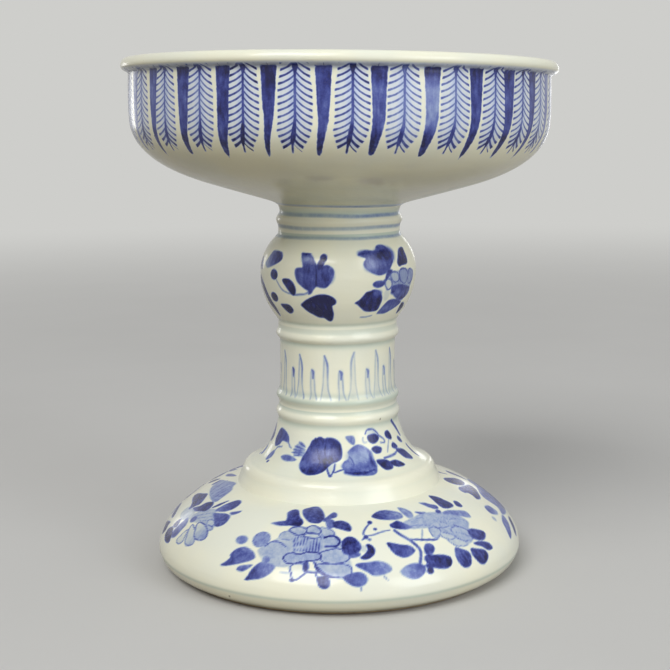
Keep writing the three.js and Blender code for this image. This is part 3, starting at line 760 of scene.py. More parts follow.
def skirt_left_leaf(brush):
    """The hanging leaf at the left, with its stems."""
    brush.shape([(-47.5, 41.5), (-50, 43.6), (-58, 45), (-66, 45), (-70, 43), (-71, 41), (-66, 39.4),
                 (-60, 40.3), (-57, 41.6), (-52, 41.7)], (0.65, 0.8))
    brush.line([(-47.5, 41.5), (-45.2, 40.7), (-43, 40.3)], 0.5)
    brush.line([(-55, 40), (-61, 39.4), (-63, 38.3), (-66, 37.4)], 0.45)
    brush.leaf((-67, 35.2), (-63, 38.2), 1.3, 0.5)
    brush.petal((-62.4, 35), 0.5, 0.5, 0.8)


def skirt_small_flowers(brush):
    """The small flowers and leaves at the right."""
    brush.line([(60, 47.5), (66, 45), (71, 42)], 0.85, 0.6)
    brush.line([(76, 38.5), (78, 36.6), (80, 34.5)], 0.85, 0.6)
    brush.shape([(24.6, 45.2), (27, 46.3), (32.8, 46.3), (37, 45), (38, 44.2), (30, 44.4)], 0.12)
    brush.line([(24.6, 45.2), (27, 46.3), (32.8, 46.3), (37, 45), (38, 44.2)], 0.55)
    brush.line([(22, 44.2), (21.6, 43.4), (22.4, 42.7), (25, 42.7)], 0.25)
    brush.line([(39, 44), (43, 42.8), (43, 41.8), (38.5, 42)], 0.5)
    brush.shape([(26.2, 44.4), (29, 44.8), (34.6, 44.8), (38, 43.7), (35.5, 42.5), (30.5, 42.1),
                 (26.8, 43)], 0.9)
    brush.shape([(28, 40.6), (33, 41.2), (38, 40.4), (36, 39.2), (31, 39.2)], 0.88)
    brush.shape([(46, 44.6), (50, 45), (53, 44), (54, 42.5), (51, 42.2), (46.5, 43.2)], 0.95)
    brush.line([(49, 42.2), (46, 40.5), (43, 38.9)], 0.3)
    brush.shape([(53.5, 41.1), (58, 39.6), (54, 39.1), (50, 40)], 0.88)
    brush.shape([(54, 38.9), (60, 38.7), (66, 37.6), (69, 35.4), (66, 34.9), (60, 35.8), (56.5, 37.2)],
                 0.85)
    brush.leaf((63, 42), (70, 40), 0.8, 0.8)
    brush.shape([(30, 37.3), (38, 37), (41.5, 35.9), (40.4, 34.6), (34.3, 34.4), (31.2, 35.6)], 0.9)
    brush.shape([(41, 36.2), (48, 36.2), (53, 34.6), (47, 34.4), (42, 35.1)], 0.92)
    brush.line([(37.5, 37.5), (49, 37.8), (55, 38.6)], 0.55, 0.4)


# Motifs of the knop

def knop_leaves(brush):
    """The lobed leaf and the dark heart-shaped leaf left of the front."""
    brush.line([(-33, 89.4), (-24, 90), (-19, 91.8)], 0.4)
    brush.shape([(-28.8, 101.5), (-29, 102.3), (-25, 102.2), (-21.5, 102), (-19, 100.9), (-16.5, 99.3),
                 (-13.8, 98.3), (-10, 98.8), (-7, 98.7), (-4, 97.8), (-3, 96.6), (-3.8, 94.8), (-5.8, 93.2),
                 (-9, 92), (-12.5, 92), (-15.5, 92.3), (-17.8, 91.3), (-19.5, 90.2), (-22, 89.8),
                 (-21.5, 90.8), (-24.8, 91.6), (-28, 92.7), (-30.5, 93.8), (-32.3, 95.9), (-32, 97.5),
                 (-29, 97.9), (-26.5, 98.1), (-27.5, 100)], 0.66)
    brush.petal((-24, 100.6), 1.5, 1.1, 0.36, soft=1.0)
    brush.line([(-28.6, 102), (-21.6, 102)], 0.75, 0.35)
    brush.petal((-9, 95.6), 2.2, 2.4, 0.8, over=False, soft=1.2)
    brush.line([(-16.2, 98.6), (-15.6, 92.6)], 0.86)
    brush.petal((-11.2, 100.9), 1.05, 1.3, 0.95)
    brush.stroke([(-12, 100), (-13, 99), (-13.6, 98)], (0.9, 1.0, 0.8), 0.8)
    brush.shape([(-29, 86.4), (-25.5, 87.6), (-21, 88.7), (-15.3, 89.7), (-10, 89.9), (-5, 89.3),
                 (-1.8, 88.1), (-2, 87), (-4.5, 86.3), (-4.2, 85), (-3.6, 83.5), (-4.8, 81.6), (-7.5, 81.3),
                 (-11.3, 82.3), (-15.6, 82.5), (-20, 83.4), (-24.5, 84.4), (-27.5, 85.5)], 1.0)


def knop_left_sprig(brush):
    """Small leaves on the left side."""
    brush.line([(-50, 93.5), (-44, 90.6), (-35, 89.6), (-26, 90)], 0.3)
    brush.shape([(-47.5, 101.6), (-46.3, 100.1), (-50, 98.8), (-58, 97.4), (-63.5, 96.9), (-68, 98.1),
                 (-65.5, 99.6), (-62.5, 101.3), (-60, 102.3), (-51, 102.2)], (0.82, 0.3))
    brush.leaf((-79, 99.8), (-74, 96), 1.2, 0.85)
    brush.petal((-53, 95.2), 1.8, 1.6, 0.85)
    brush.shape([(-43.5, 94), (-38.5, 94.3), (-34.5, 93.5), (-32, 91.6), (-32.5, 89.9), (-34.5, 89.2),
                 (-37.5, 90.2), (-40.5, 91.8), (-42.8, 93)], 0.93)
    brush.petal((-56, 88), 1.8, 1.5, 0.95)
    brush.shape([(-50, 85.8), (-45, 86.1), (-40.5, 85.9), (-37.8, 84.6), (-39.5, 83.6), (-43.3, 83.2),
                 (-47, 84.2)], 0.95)
    brush.stroke([(-78, 93.5), (-72, 90.3), (-67, 86.5), (-62.5, 84), (-61, 82)], (0.6, 1.5, 1.6, 1.2, 0.5),
                  0.92)


def knop_right_leaves(brush):
    """The large leaf, and the flower with its leaves on the right side."""
    brush.shape([(14, 101.7), (17, 102.6), (21.5, 103), (26.5, 102.7), (29, 102.9), (31.5, 104),
                 (36, 104.3), (40, 103.8), (43, 102.4), (45.5, 101.2), (45.5, 100.2), (43, 98.8),
                 (40.2, 97.2), (38, 96.2), (34, 95.5), (30, 95.3), (26, 95.8), (22, 96.7), (18.7, 98),
                 (18.2, 99.3), (20, 100.5), (16.8, 101.1)], 0.62)
    brush.petal((23.5, 98.3), 1.9, 1.5, 0.42, soft=1.2)
    brush.petal((20, 102), 2.2, 0.9, 0.72, over=False, soft=0.9)
    brush.petal((37, 101.2), 3.5, 2.6, 0.9, over=False, soft=1.5)
    brush.shape([(54.5, 102.5), (50.5, 100.7), (48, 98.7), (49.5, 97.5), (53, 97.7), (60, 98), (61.5, 99.6),
                 (61, 101.3), (61, 102.8)], 0.88)
    brush.petal((38, 89), 1.2, 2.0, 0.08)
    brush.shape([(42, 91.5), (48, 92), (56, 91.6), (66, 90.5), (66, 88.3), (60, 87), (54, 86.7), (48, 87.8),
                 (42.5, 89.6)], (0.62, 0.72))
    brush.petal((50, 89.6), 1.3, 0.9, 0.45, soft=0.8)
    for dark in ((44.5, 89.7), (63, 90.3), (57.5, 87.3)):
        brush.petal(dark, 1.0, 0.7, 0.85, over=False, soft=0.6)
    brush.shape([(35.5, 92.5), (37, 94), (40, 95), (43.5, 96), (50, 96.2), (57, 96.4), (62, 96), (70, 95),
                 (69, 92.4), (66, 90.5), (56, 91.6), (48, 92), (42, 91.5), (38.5, 90.6)], 0.28)
    for petal, ink in (([(35.5, 92.5), (37, 94), (41, 93.4), (42, 91.6), (38.5, 90.6)], 0.1),
                       ([(40, 95), (43.5, 96), (48, 95.2), (49, 93.2), (44, 92.8)], 0.22),
                       ([(50, 96.2), (57, 96.4), (60.5, 94.5), (58, 92), (51, 93)], 0.3),
                       ([(62, 96), (70, 95), (69, 92.4), (62, 91.8)], 0.34)):
        brush.shape(petal, ink, outline=0.6)
    brush.stroke([(36.5, 94.3), (38.5, 96), (41, 96.2)], (0.5, 0.8, 0.5), 0.7)
    brush.shape([(33.5, 83.3), (39, 86.3), (43.5, 87.3), (50.5, 87.1), (58, 86), (56, 85), (48.5, 83.7),
                 (42.5, 82.9), (37, 82.9)], (0.55, 0.66))
    brush.shape([(12.5, 87.1), (16, 88.1), (19, 89.6), (20.5, 90.3), (23.5, 90.6), (26.5, 91), (30.5, 90.5),
                 (33.5, 89.1), (34.5, 87.8), (34, 86), (32.5, 84.3), (27, 84), (21.5, 84.3), (17.3, 85.6),
                 (14.5, 86.6)], 0.92)
    brush.petal((29.5, 89.7), 1.5, 0.9, 0.62, soft=0.8)
    brush.shape([(25, 92.7), (27.5, 93.5), (32.5, 93.6), (35, 93), (34, 92), (30, 91.5), (26.7, 91.8)],
                 0.66)
    brush.stroke([(34, 93.2), (37, 94.2), (39.5, 95.6)], (0.4, 0.5, 0.4), 0.6)
    brush.shape([(60, 85.3), (66, 85), (68, 83.5), (61, 82)], 0.95)
    brush.line([(19, 82.3), (24, 82.3), (29, 82.6)], 0.3)


# Flames round the drum

DRUM_FLAMES = 14        # tall ones, and as many low ones
FLAME_FOOT = 56.3
TALL_TOP, LOW_TOP = 70.6, 65.6
# Each flame at the front: its place and its ink
TALL_FLAMES = ((-64, 0.62), (-39, 0.75), (-12, 0.6), (15, 0.42), (40.5, 0.46), (63, 0.55))
LOW_FLAMES = ((-49, 0.72), (-25, 0.62), (2.5, 0.66), (29.5, 0.5), (51, 0.56))


def flames_round(front, rng):
    """The flames at the front, and those that carry them on round the drum."""
    flames = list(front)
    for k in range(DRUM_FLAMES - len(front)):
        turn = front[-1][0] + 360 / DRUM_FLAMES * (k + 1)
        flames.append((turn + rng.uniform(-1.2, 1.2), rng.uniform(0.45, 0.75)))
    return flames


def drum_flames(section):
    """Tall and short flames by turns, each a thin line that bends over at its peak."""
    rng = np.random.default_rng(7)
    tall, low = flames_round(TALL_FLAMES, rng), flames_round(LOW_FLAMES, rng)
    for turn, ink in tall:
        brush = Brush(section, turn, flip=rng.uniform() < 0.3)
        top = TALL_TOP + rng.uniform(-0.8, 0.5)
        brush.stroke([(0.6, top - 3), (0.8, 63), (0.6, FLAME_FOOT + 1)], (0.6, 0.9, 1.2), 0.06, soft=0.5)
        brush.stroke([(-0.8, top), (-1.6, 65), (-2.2, 61), (-4.2, FLAME_FOOT)],
                     (0.28, 0.24, 0.22, 0.2), ink * 0.38)
        brush.stroke([(-0.8, top), (2.0, top - 3), (2.2, 62), (3.0, 59), (5.6, FLAME_FOOT)],
                     (0.3, 0.36, 0.26, 0.24, 0.22), ink * np.array((0.72, 0.66, 0.42, 0.4, 0.46)))
    for turn, ink in low:
        brush = Brush(section, turn, flip=rng.uniform() < 0.3)
        top = LOW_TOP + rng.uniform(-0.5, 0.8)
        brush.stroke([(0.4, top), (0.4, 62), (0.4, FLAME_FOOT + 1)], (0.7, 1.0, 1.2), 0.06, soft=0.5)
        brush.stroke([(-0.6, top), (0.9, top - 0.7), (0.6, top - 2.6)], (0.3, 0.5, 0.3), ink * 0.76)
        brush.stroke([(-1.4, top - 0.6), (-1.8, 61), (-1.2, 58), (-1.4, FLAME_FOOT)],
                     (0.26, 0.22, 0.2), ink * 0.38)
        brush.stroke([(1.6, top - 0.8), (2.2, 61), (2.8, 58.4), (5.0, FLAME_FOOT)],
                     (0.28, 0.24, 0.22), ink * 0.42)


# The band of stripes and feathers under the lip

# Each stripe at the front: its place, its ink at the top, middle and tip, and how full its tip is
STRIPES = (
    (-66.5, 0.5, 0.45, 0.5, 1.0),
    (-54.3, 0.8, 0.62, 0.9, 1.0),
    (-41.6, 0.95, 0.74, 0.95, 1.1),
    (-29.1, 0.92, 0.84, 0.86, 1.4),
    (-17.1, 1.0, 0.8, 0.9, 0.85),
    (-4.0, 0.85, 0.76, 0.88, 1.0),
    (9.0, 0.95, 0.68, 0.96, 1.25),
    (22.1, 0.95, 0.42, 0.96, 1.3),
    (34.5, 0.95, 0.78, 0.98, 1.1),
    (46.1, 0.9, 0.7, 0.95, 1.1),
    (57.3, 0.85, 0.78, 0.8, 1.0),
    (68.5, 0.5, 0.5, 0.5, 1.0),
)
# Each feather at the front: its place and the strength of its barbs
FEATHERS = (
    (-61.5, 0.56), (-48.8, 0.52), (-36.0, 0.56), (-23.6, 0.74), (-10.7, 0.66), (2.8, 0.64),
    (15.1, 0.48), (28.4, 0.5), (40.8, 0.58), (52.2, 0.58), (63.0, 0.5),
)
BAND_COPIES = 17        # stripes round the back, beyond those at the front
# Between what values they lie there: the ink at the top, middle and tip, and how full the tip is
BACK_STRIPES = ((0.85, 1.0), (0.6, 0.85), (0.8, 1.0), (0.85, 1.35))
BACK_BARBS = (0.5, 0.72)
BAND_TOP = 155.9
# A stripe's half width at some heights
STRIPE_HALF = ((131.4, 0.1), (133, 0.65), (137, 1.1), (141, 1.45), (145.5, 1.85), (150, 2.1), (154, 2.3),
               (156.5, 2.6))
TIP_LEAN = -1.4         # degrees by which the strokes drift as they come down
BARB_PITCH = 1.74
BARB_DROOP = 3.9        # how far a barb comes down, were it endless
BARB_BEND = 3.2         # how soon it levels off
BARB_LOW = 135.6        # where the lowest barb leaves the spine
BARB_THIN = 0.24        # half width


def round_the_back(front, copies):
    """The front's places, and evenly spread places from the last of them round to the first."""
    gap = (front[0] + 360 - front[-1]) / (copies + 1)
    rest = [front[-1] + gap * (k + 1) for k in range(copies)]
    return np.array([*front, *rest])


def nearest(angle, turns):
    """Signed distance in radians to the nearest of some turns, and which it is."""
    away = angle[:, None] - np.radians(turns)[None, :]
    away = (away + math.pi) % (2 * math.pi) - math.pi
    which = np.abs(away).argmin(axis=1)
    return away[np.arange(len(angle)), which], which


def lip_band(section):
    """Lays the amounts from which the dish's material draws its stripes and feathers."""
    rng = np.random.default_rng(11)
    outside = Brush(section).reachable.astype(float)
    height = section.height
    lean = np.radians(TIP_LEAN) * smoothstep(143, 131, height)
    turns, *values = zip(*STRIPES)
    turns = round_the_back(turns, BAND_COPIES)
    top, middle, tip, full = (np.append(front, rng.uniform(*span, BAND_COPIES))
                              for front, span in zip(values, BACK_STRIPES))
    away, which = nearest(section.angle - lean, turns)
    wider = 1 + (full[which] - 1) * smoothstep(148, 138, height)
    half = np.interp(height, *zip(*STRIPE_HALF)) * wider * rng.uniform(0.93, 1.06, len(turns))[which]
    lowest = 131.8 + rng.uniform(-0.8, 0.8, len(turns))[which]
    edge = np.maximum(np.abs(away) * section.radius - half, np.maximum(lowest - height, height - BAND_TOP))
    ink = middle[which] + (top - middle)[which] * smoothstep(149.5, 155.0, height)
    ink = ink + (tip[which] - ink) * smoothstep(141, 136.5, height)
    turns, tone = zip(*FEATHERS)
    turns = round_the_back(turns, BAND_COPIES + 1)
    tone = np.append(tone, rng.uniform(*BACK_BARBS, BAND_COPIES + 1))
    away, which = nearest(section.angle - lean, turns)
    section.paint.update({
        "stripe": edge,
        "stripe_ink": ink,
        "feather": away * section.radius,
        "feather_ink": tone[which],
        "phase": rng.uniform(0, 1, len(turns))[which],
        "level": height,
        "band": outside * smoothstep(130.5, 131.2, height) * smoothstep(156.8, 156.0, height),
    })
    # A grey-blue cobalt wash under the lip. It is also dark enough to paint part of the lip's shadow.
    lip_wash_and_shadow = smoothstep(155.0, 155.8, height) * smoothstep(157.2, 156.4, height) * outside
    section.paint["ink"] = np.maximum(section.paint["ink"], 0.14 * lip_wash_and_shadow)


def draw_band(p):
    """The ink of the stripes and feathers in a Painter's material."""
    wobble = (p.noise(1.1, 2) - 0.5) * 0.45
    stripe = (p.amount("stripe") + wobble).step(0.16, -0.2) * p.amount("stripe_ink")
    across = p.amount("feather")
    side = across.size()
    level = p.amount("level")
    tone = p.amount("feather_ink")
    right = across.step(-0.35, 0.35)
    droop = ((side * (-1 / BARB_BEND)).math("EXPONENT") * -1.0 + 1.0) * (right * 0.34 + 0.82) * BARB_DROOP
    root = level + droop + wobble * 0.3
    low = root.step(141.0, 136.6)
    turn = (root - BARB_LOW) * (1 / BARB_PITCH) + right * 0.42 + p.amount("phase") * 0.3
    gap = (turn.part() - 0.5).size() * BARB_PITCH * side.step(0, 4.5, 0.72, 0.98)
    reach = root.step(135.0, 142.0, 2.5, 4.75) - root.step(152.0, 157.0, 0.0, 0.7)
    to_end = side + wobble - reach
    within = to_end.step(0.2, -0.25) * (root - BARB_LOW).step(0.0, 0.05)
    knob = to_end.step(-1.6, -0.3)
    barbs = (gap - knob * 0.07 - low * 0.08 - BARB_THIN).step(0.15, -0.13) * within
    barbs = barbs * (tone + knob * 0.1 + low * 0.24 + root.step(152.5, 155.5, 0, 0.2) - 0.04)
    swell = level.step(143.0, 137.2, 0.4, 0.72) - level.step(136.6, 134.2, 0.0, 0.46)
    swell = swell + level.step(153.8, 156.0, 0.0, 0.5)
    spine = (side + wobble * 0.8 - swell).step(0.16, -0.2) * (level + wobble - 132.9).step(-0.3, 0.4)
    spine = spine * (tone + level.step(143, 138, 0.02, 0.3) + level.step(151, 155, 0, 0.22))
    wash = to_end.step(0.5, -0.9) * (root - BARB_LOW).step(-0.5, 1.2) * 0.07
    wash = wash + side.step(2.4, 0.3) * (root - BARB_LOW).step(-0.5, 1.2) * 0.1
    return stripe.larger(spine).larger(barbs).larger(wash) * p.amount("band")


# Materials

class Wire:
    """A number inside a material, so that its nodes can be written as arithmetic."""

    def __init__(self, tree, socket):
        self.tree = tree
        self.socket = socket

    def math(self, operation, *others):
        node = self.tree.nodes.new("ShaderNodeMath")
        node.operation = operation
        for place, value in zip(node.inputs, (self, *others)):
            if isinstance(value, Wire):
                self.tree.links.new(value.socket, place)
            else:
                place.default_value = value
        return Wire(self.tree, node.outputs[0])

    def __add__(self, other):
        return self.math("ADD", other)

    def __sub__(self, other):
        return self.math("SUBTRACT", other)

    def __mul__(self, other):
        return self.math("MULTIPLY", other)

    def larger(self, other):
        return self.math("MAXIMUM", other)

    def smaller(self, other):
        return self.math("MINIMUM", other)

    def part(self):
        return self.math("FRACT")

    def size(self):
        return self.math("ABSOLUTE")

    def step(self, low, high, to_low=0.0, to_high=1.0):
        """A smooth step of this number from low to high."""
        node = self.tree.nodes.new("ShaderNodeMapRange")
        node.interpolation_type = "SMOOTHSTEP"
        self.tree.links.new(self.socket, node.inputs["Value"])
        for name, value in (("From Min", low), ("From Max", high), ("To Min", to_low), ("To Max", to_high)):
            node.inputs[name].default_value = value
        return Wire(self.tree, node.outputs["Result"])


class Painter:
    """Makes one material's nodes. Textures are laid in millimetres on the piece itself."""

    def __init__(self, name):
        self.material = bpy.data.materials.new(name)
        self.material.use_nodes = True
        self.tree = self.material.node_tree
        self.shader = self.tree.nodes["Principled BSDF"]
        place = self.tree.nodes.new("ShaderNodeTexCoord")
        scale = self.tree.nodes.new("ShaderNodeVectorMath")
        scale.operation = "SCALE"
        scale.inputs["Scale"].default_value = 1 / MM
        self.tree.links.new(place.outputs["Object"], scale.inputs[0])
        self.place = scale.outputs[0]

    def give(self, name, value):
        """Sets one of the shader's values, or links what makes it."""
        place = self.shader.inputs[name]
        if isinstance(value, float):
            place.default_value = value
        else:
            self.tree.links.new(value.socket if isinstance(value, Wire) else value, place)

    def amount(self, name):
        node = self.tree.nodes.new("ShaderNodeAttribute")
        node.attribute_name = name
        return Wire(self.tree, node.outputs["Fac"])

    def noise(self, size, detail=2.0, stretch=(1, 1, 1)):
        """Noise with features of about size mm, from 0 to 1. stretch draws it out along an axis."""
        squeeze = self.tree.nodes.new("ShaderNodeVectorMath")
        squeeze.operation = "DIVIDE"
        self.tree.links.new(self.place, squeeze.inputs[0])
        squeeze.inputs[1].default_value = [size * s for s in stretch]
        node = self.tree.nodes.new("ShaderNodeTexNoise")
        node.inputs["Scale"].default_value = 1.0
        node.inputs["Detail"].default_value = detail
        self.tree.links.new(squeeze.outputs[0], node.inputs["Vector"])
        return Wire(self.tree, node.outputs["Fac"])

    def specks(self, size, spread, share):
        """Round specks of size mm, about spread mm apart, in a share of the places."""
        squeeze = self.tree.nodes.new("ShaderNodeVectorMath")
        squeeze.operation = "SCALE"
        squeeze.inputs["Scale"].default_value = 1 / spread
        self.tree.links.new(self.place, squeeze.inputs[0])
        node = self.tree.nodes.new("ShaderNodeTexVoronoi")
        node.inputs["Scale"].default_value = 1.0
        self.tree.links.new(squeeze.outputs[0], node.inputs["Vector"])
        near = Wire(self.tree, node.outputs["Distance"]).step(size / spread, 0.5 * size / spread)
        split = self.tree.nodes.new("ShaderNodeSeparateColor")
        self.tree.links.new(node.outputs["Color"], split.inputs[0])
        chosen = Wire(self.tree, split.outputs[0]).step(1 - share, 1 - share + 0.01)
        return near * chosen

    def mix(self, amount, first, second, blend="MIX"):
        """A colour between two, each a colour or a socket."""
        node = self.tree.nodes.new("ShaderNodeMix")
        node.data_type = "RGBA"
        node.blend_type = blend
        factor, _, _, _, _, _, a, b = node.inputs[:8]
        if isinstance(amount, Wire):
            self.tree.links.new(amount.socket, factor)
        else:
            factor.default_value = amount
        for place, value in ((a, first), (b, second)):
            if isinstance(value, tuple):
                place.default_value = value
            else:
                self.tree.links.new(value, place)
        return node.outputs[2]

    def ramp(self, amount, stops):
        node = self.tree.nodes.new("ShaderNodeValToRGB")
        bands = node.color_ramp.elements
        for place, colour in stops[1:-1]:
            bands.new(place).color = colour
        bands[0].position, bands[0].color = stops[0]
        bands[-1].position, bands[-1].color = stops[-1]
        self.tree.links.new(amount.socket, node.inputs["Fac"])
        return node.outputs["Color"]

    def bump(self, height, distance):
        node = self.tree.nodes.new("ShaderNodeBump")
        node.inputs["Distance"].default_value = distance
        self.tree.links.new(height.socket, node.inputs["Height"])
        self.give("Normal", node.outputs["Normal"])


# Cobalt from none to the deepest, as the share of the glaze's colour that gets through
COBALT = (
    (0.0, srgb(255, 255, 255)),
    (0.14, srgb(210, 220, 242)),
    (0.28, srgb(162, 178, 226)),
    (0.45, srgb(112, 126, 200)),
    (0.62, srgb(76, 88, 172)),
    (0.80, srgb(48, 56, 138)),
    (1.0, srgb(24, 26, 82)),
)
GLAZE = srgb(240, 239, 217)
COOL_GLAZE = srgb(229, 233, 222)
POOLED_GLAZE = srgb(186, 202, 190)
HAZED_GLAZE = srgb(234, 238, 248)     # over and close round cobalt
BISCUIT = srgb(186, 168, 138)
BURNT_BISCUIT = srgb(120, 96, 70)
IRON = srgb(84, 66, 48)


def porcelain(name, banded=False):
    """Glazed porcelain with cobalt under the glaze. banded adds the stripes and feathers of the lip."""
    p = Painter(name)
    streak = p.noise(1.6, 3, stretch=(0.7, 0.7, 2.6))
    cloud = p.noise(3.2, 2)
    ink = p.amount("ink")
    haze = ink.step(0.1, 0.4) * 0.35
    if banded:
        ink = ink.larger(draw_band(p))
        haze = ink.step(0.0, 0.12) * 0.8 - ink.step(0.12, 0.4) * 0.4
    # Cobalt gathers and thins within a stroke, and breaks into fine darker grains
    grain = p.noise(0.45, 2)
    ink = ink * ((streak - 0.5) * 0.8 + (cloud - 0.5) * 0.7 + (grain - 0.5) * 0.3 + 0.93)
    cobalt = p.ramp(ink.smaller(1.0), COBALT)
    tint = p.noise(22, 2).step(0.35, 0.7)
    glaze = p.mix(tint * 0.6, GLAZE, COOL_GLAZE)
    pool = p.amount("pool")
    glaze = p.mix(pool * 0.85, glaze, POOLED_GLAZE)
    glaze = p.mix(haze, glaze, HAZED_GLAZE)
    colour = p.mix(1.0, glaze, cobalt, blend="MULTIPLY")
    specks = p.specks(0.3, 13, 0.34).larger(p.amount("speck"))
    colour = p.mix(specks * 0.75, colour, IRON)
    bare = (p.amount("bare") + (p.noise(1.4, 3) - 0.5) * 0.35).step(0.42, 0.6)
    burnt = p.noise(2.5, 3).step(0.4, 0.7)
    biscuit = p.mix(burnt * 0.5, BISCUIT, BURNT_BISCUIT)
    colour = p.mix(bare, colour, biscuit)
    p.give("Base Color", colour)
    dull = (p.noise(7, 3).step(0.3, 0.75) * 0.07 + 0.15) * (bare * -1.0 + 1.0) + bare * 0.72 + ink * 0.08
    p.give("Roughness", dull)
    p.give("IOR", 1.5)
    # Slow waves from the thrower's fingers, and the glaze's orange peel
    waves = p.noise(9, 1, stretch=(3, 3, 0.35)) * 0.6 + p.noise(1.6, 2) * 0.16
    waves = waves + p.noise(0.35, 2) * bare * 0.5
    p.bump(waves, 0.00022)
    return p.material


def fired_slip(name):
    """Matt fired slip, as it squeezed out inside the hollow stem."""
    p = Painter(name)
    colour = p.mix(p.noise(2.2, 3).step(0.3, 0.75), srgb(206, 194, 170), srgb(168, 148, 116))
    p.give("Base Color", colour)
    p.give("Roughness", 0.85)
    p.bump(p.noise(0.5, 4) + p.noise(2.5, 2) * 0.6, 0.0004)
    return p.material


# The pieces

def levels(node):
    low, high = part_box(node)
    return low.z / MM, high.z / MM


def outer_spacing(fine, coarse, inside=0.0):
    """Fine rows on the outside, beyond a radius, and coarse ones within."""
    return lambda radius, height: np.where(radius > inside, fine, coarse)


glazed = porcelain("glazed_porcelain")
banded = porcelain("banded_porcelain", banded=True)
slip = fired_slip("fired_slip")


def foot_spacing(radius, height):
    """Fine rows on the dome's outside, and coarse ones under it."""
    halfway = np.interp(height, (0, 6, 15, 21, 26), (54, 52, 46, 37, 24))
    return np.where(radius > halfway, 0.4, 1.5)


RIM_BEAD = 0.4          # the foot's edge is a little fuller than in the solid
BEAD_HEIGHT, BEAD_REACH = 2.7, 1.4
GLAZE_LINE = 5.7        # a greenish line where glaze gathers above the edge
BARE_FROM, BARE_TO = 1.75, 1.05     # the glaze ends between these heights


def make_foot():
    top = levels("foot")[1]
    foot = Section("foot", [top], 720, foot_spacing)
    foot.rows[:, 1] = np.maximum(foot.rows[:, 1], 0)
    bead = np.exp(-((foot.rows[:, 1] - BEAD_HEIGHT) / BEAD_REACH) ** 2) * (foot.rows[:, 0] > 53.5)
    foot.rows[:, 0] += RIM_BEAD * bead
    foot.reread()
    repeat(foot, (0,), foot_side_spray, foot_far_spray)
    repeat(foot, (0, 150), foot_second_peony, foot_branch, foot_peony)
    repeat(foot, (251,), foot_peony)
    brush = Brush(foot)
    hollow = ~brush.reachable & (foot.radius < 30)
    foot.paint["bare"] = np.maximum(
        smoothstep(BARE_FROM, BARE_TO, foot.height), hollow * smoothstep(14.0, 21.0, foot.height))
    line = np.exp(-((foot.height - GLAZE_LINE) / 0.5) ** 2) * brush.reachable
    gathered = 0.8 * line + 0.5 * smoothstep(2.6, 1.8, foot.height)
    foot.paint["pool"] = np.clip(foot.paint["pool"] + gathered, 0, 1)
    brush.speck(-34, 3.8, 0.45)
    foot.build(glazed)


def bare_inside(section):
    """The hollow of the stem is unglazed."""
    section.paint["bare"] = np.where(Brush(section).reachable, 0.0, 1.0)


def make_skirt():
    section = Section("skirt", levels("skirt"), 480, outer_spacing(0.36, 1.2, inside=18.5))
    repeat(section, (0, 165), skirt_left_leaf, skirt_small_flowers, skirt_blooms)
    repeat(section, (-150,), skirt_left_leaf, flip=True)
    bare_inside(section)
    Brush(section).speck(41, 49.2, 0.45)
    section.build(glazed)


DRUM_POOL = 55.2        # glaze has run down and settled at this height


def make_drum():
    section = Section("drum", levels("drum"), 480, outer_spacing(0.3, 1.5, inside=16))
    drum_flames(section)
    settled_glaze = np.exp(-((section.height - DRUM_POOL) / 1.1) ** 2)
    section.paint["pool"] = np.clip(section.paint["pool"] + 0.9 * settled_glaze, 0, 1)
    bare_inside(section)
    section.build(glazed)


KNOP_DEPTH = 1.12       # the knop is painted in a fuller cobalt than the rest


def make_knop():
    section = Section("knop", levels("knop"), 480, outer_spacing(0.33, 1.2, inside=19.0))
    repeat(section, (0, 170), knop_left_sprig, knop_right_leaves, knop_leaves)
    repeat(section, (-156,), knop_left_sprig, flip=True)
    section.paint["ink"] *= KNOP_DEPTH
    Brush(section).ring(106.4, 0.2, 0.55)
    bare_inside(section)
    section.build(glazed)


def make_collar():
    section = Section("collar", levels("collar"), 360, outer_spacing(0.28, 1.2, inside=16))
    brush = Brush(section)
    brush.ring(109.4, 0.2, 0.55)
    brush.ring(113.2, 0.22, 0.6)
    bare_inside(section)
    section.build(glazed)


def dish_inside(section, outside):
    """The unseen inside: two drawn lines under the lip, a ring round the floor and a spray in it."""
    ink = section.paint["ink"]
    for height in (153.4, 151.9):
        line = np.exp(-((section.height - height) / 0.32) ** 2) * ~outside * (section.radius > 55)
        ink[:] = np.maximum(ink, 0.5 * line)
    floor = ~outside & (section.radius < 52) & (section.height > 120)
    for radius, width in ((43.6, 0.5), (41.8, 0.3)):
        line = np.exp(-((section.radius - radius) / width) ** 2) * floor
        ink[:] = np.maximum(ink, 0.55 * line)
    floor_spray(section, floor)


# The leaves on the dish's floor: the way each points, and how far out it lies
LEAVES_IN_DISH = ((205, 27), (248, 25), (292, 26), (335, 28), (20, 26), (64, 24), (118, 25), (160, 27))
# Its rings of petals: how many, the first's direction, reach, length, width, ink and outline
PETALS_IN_DISH = ((9, 8, 11.2, 6.2, 4.2, 0.24, 0.66), (6, 0, 5.6, 4.4, 3.1, 0.34, 0.74))


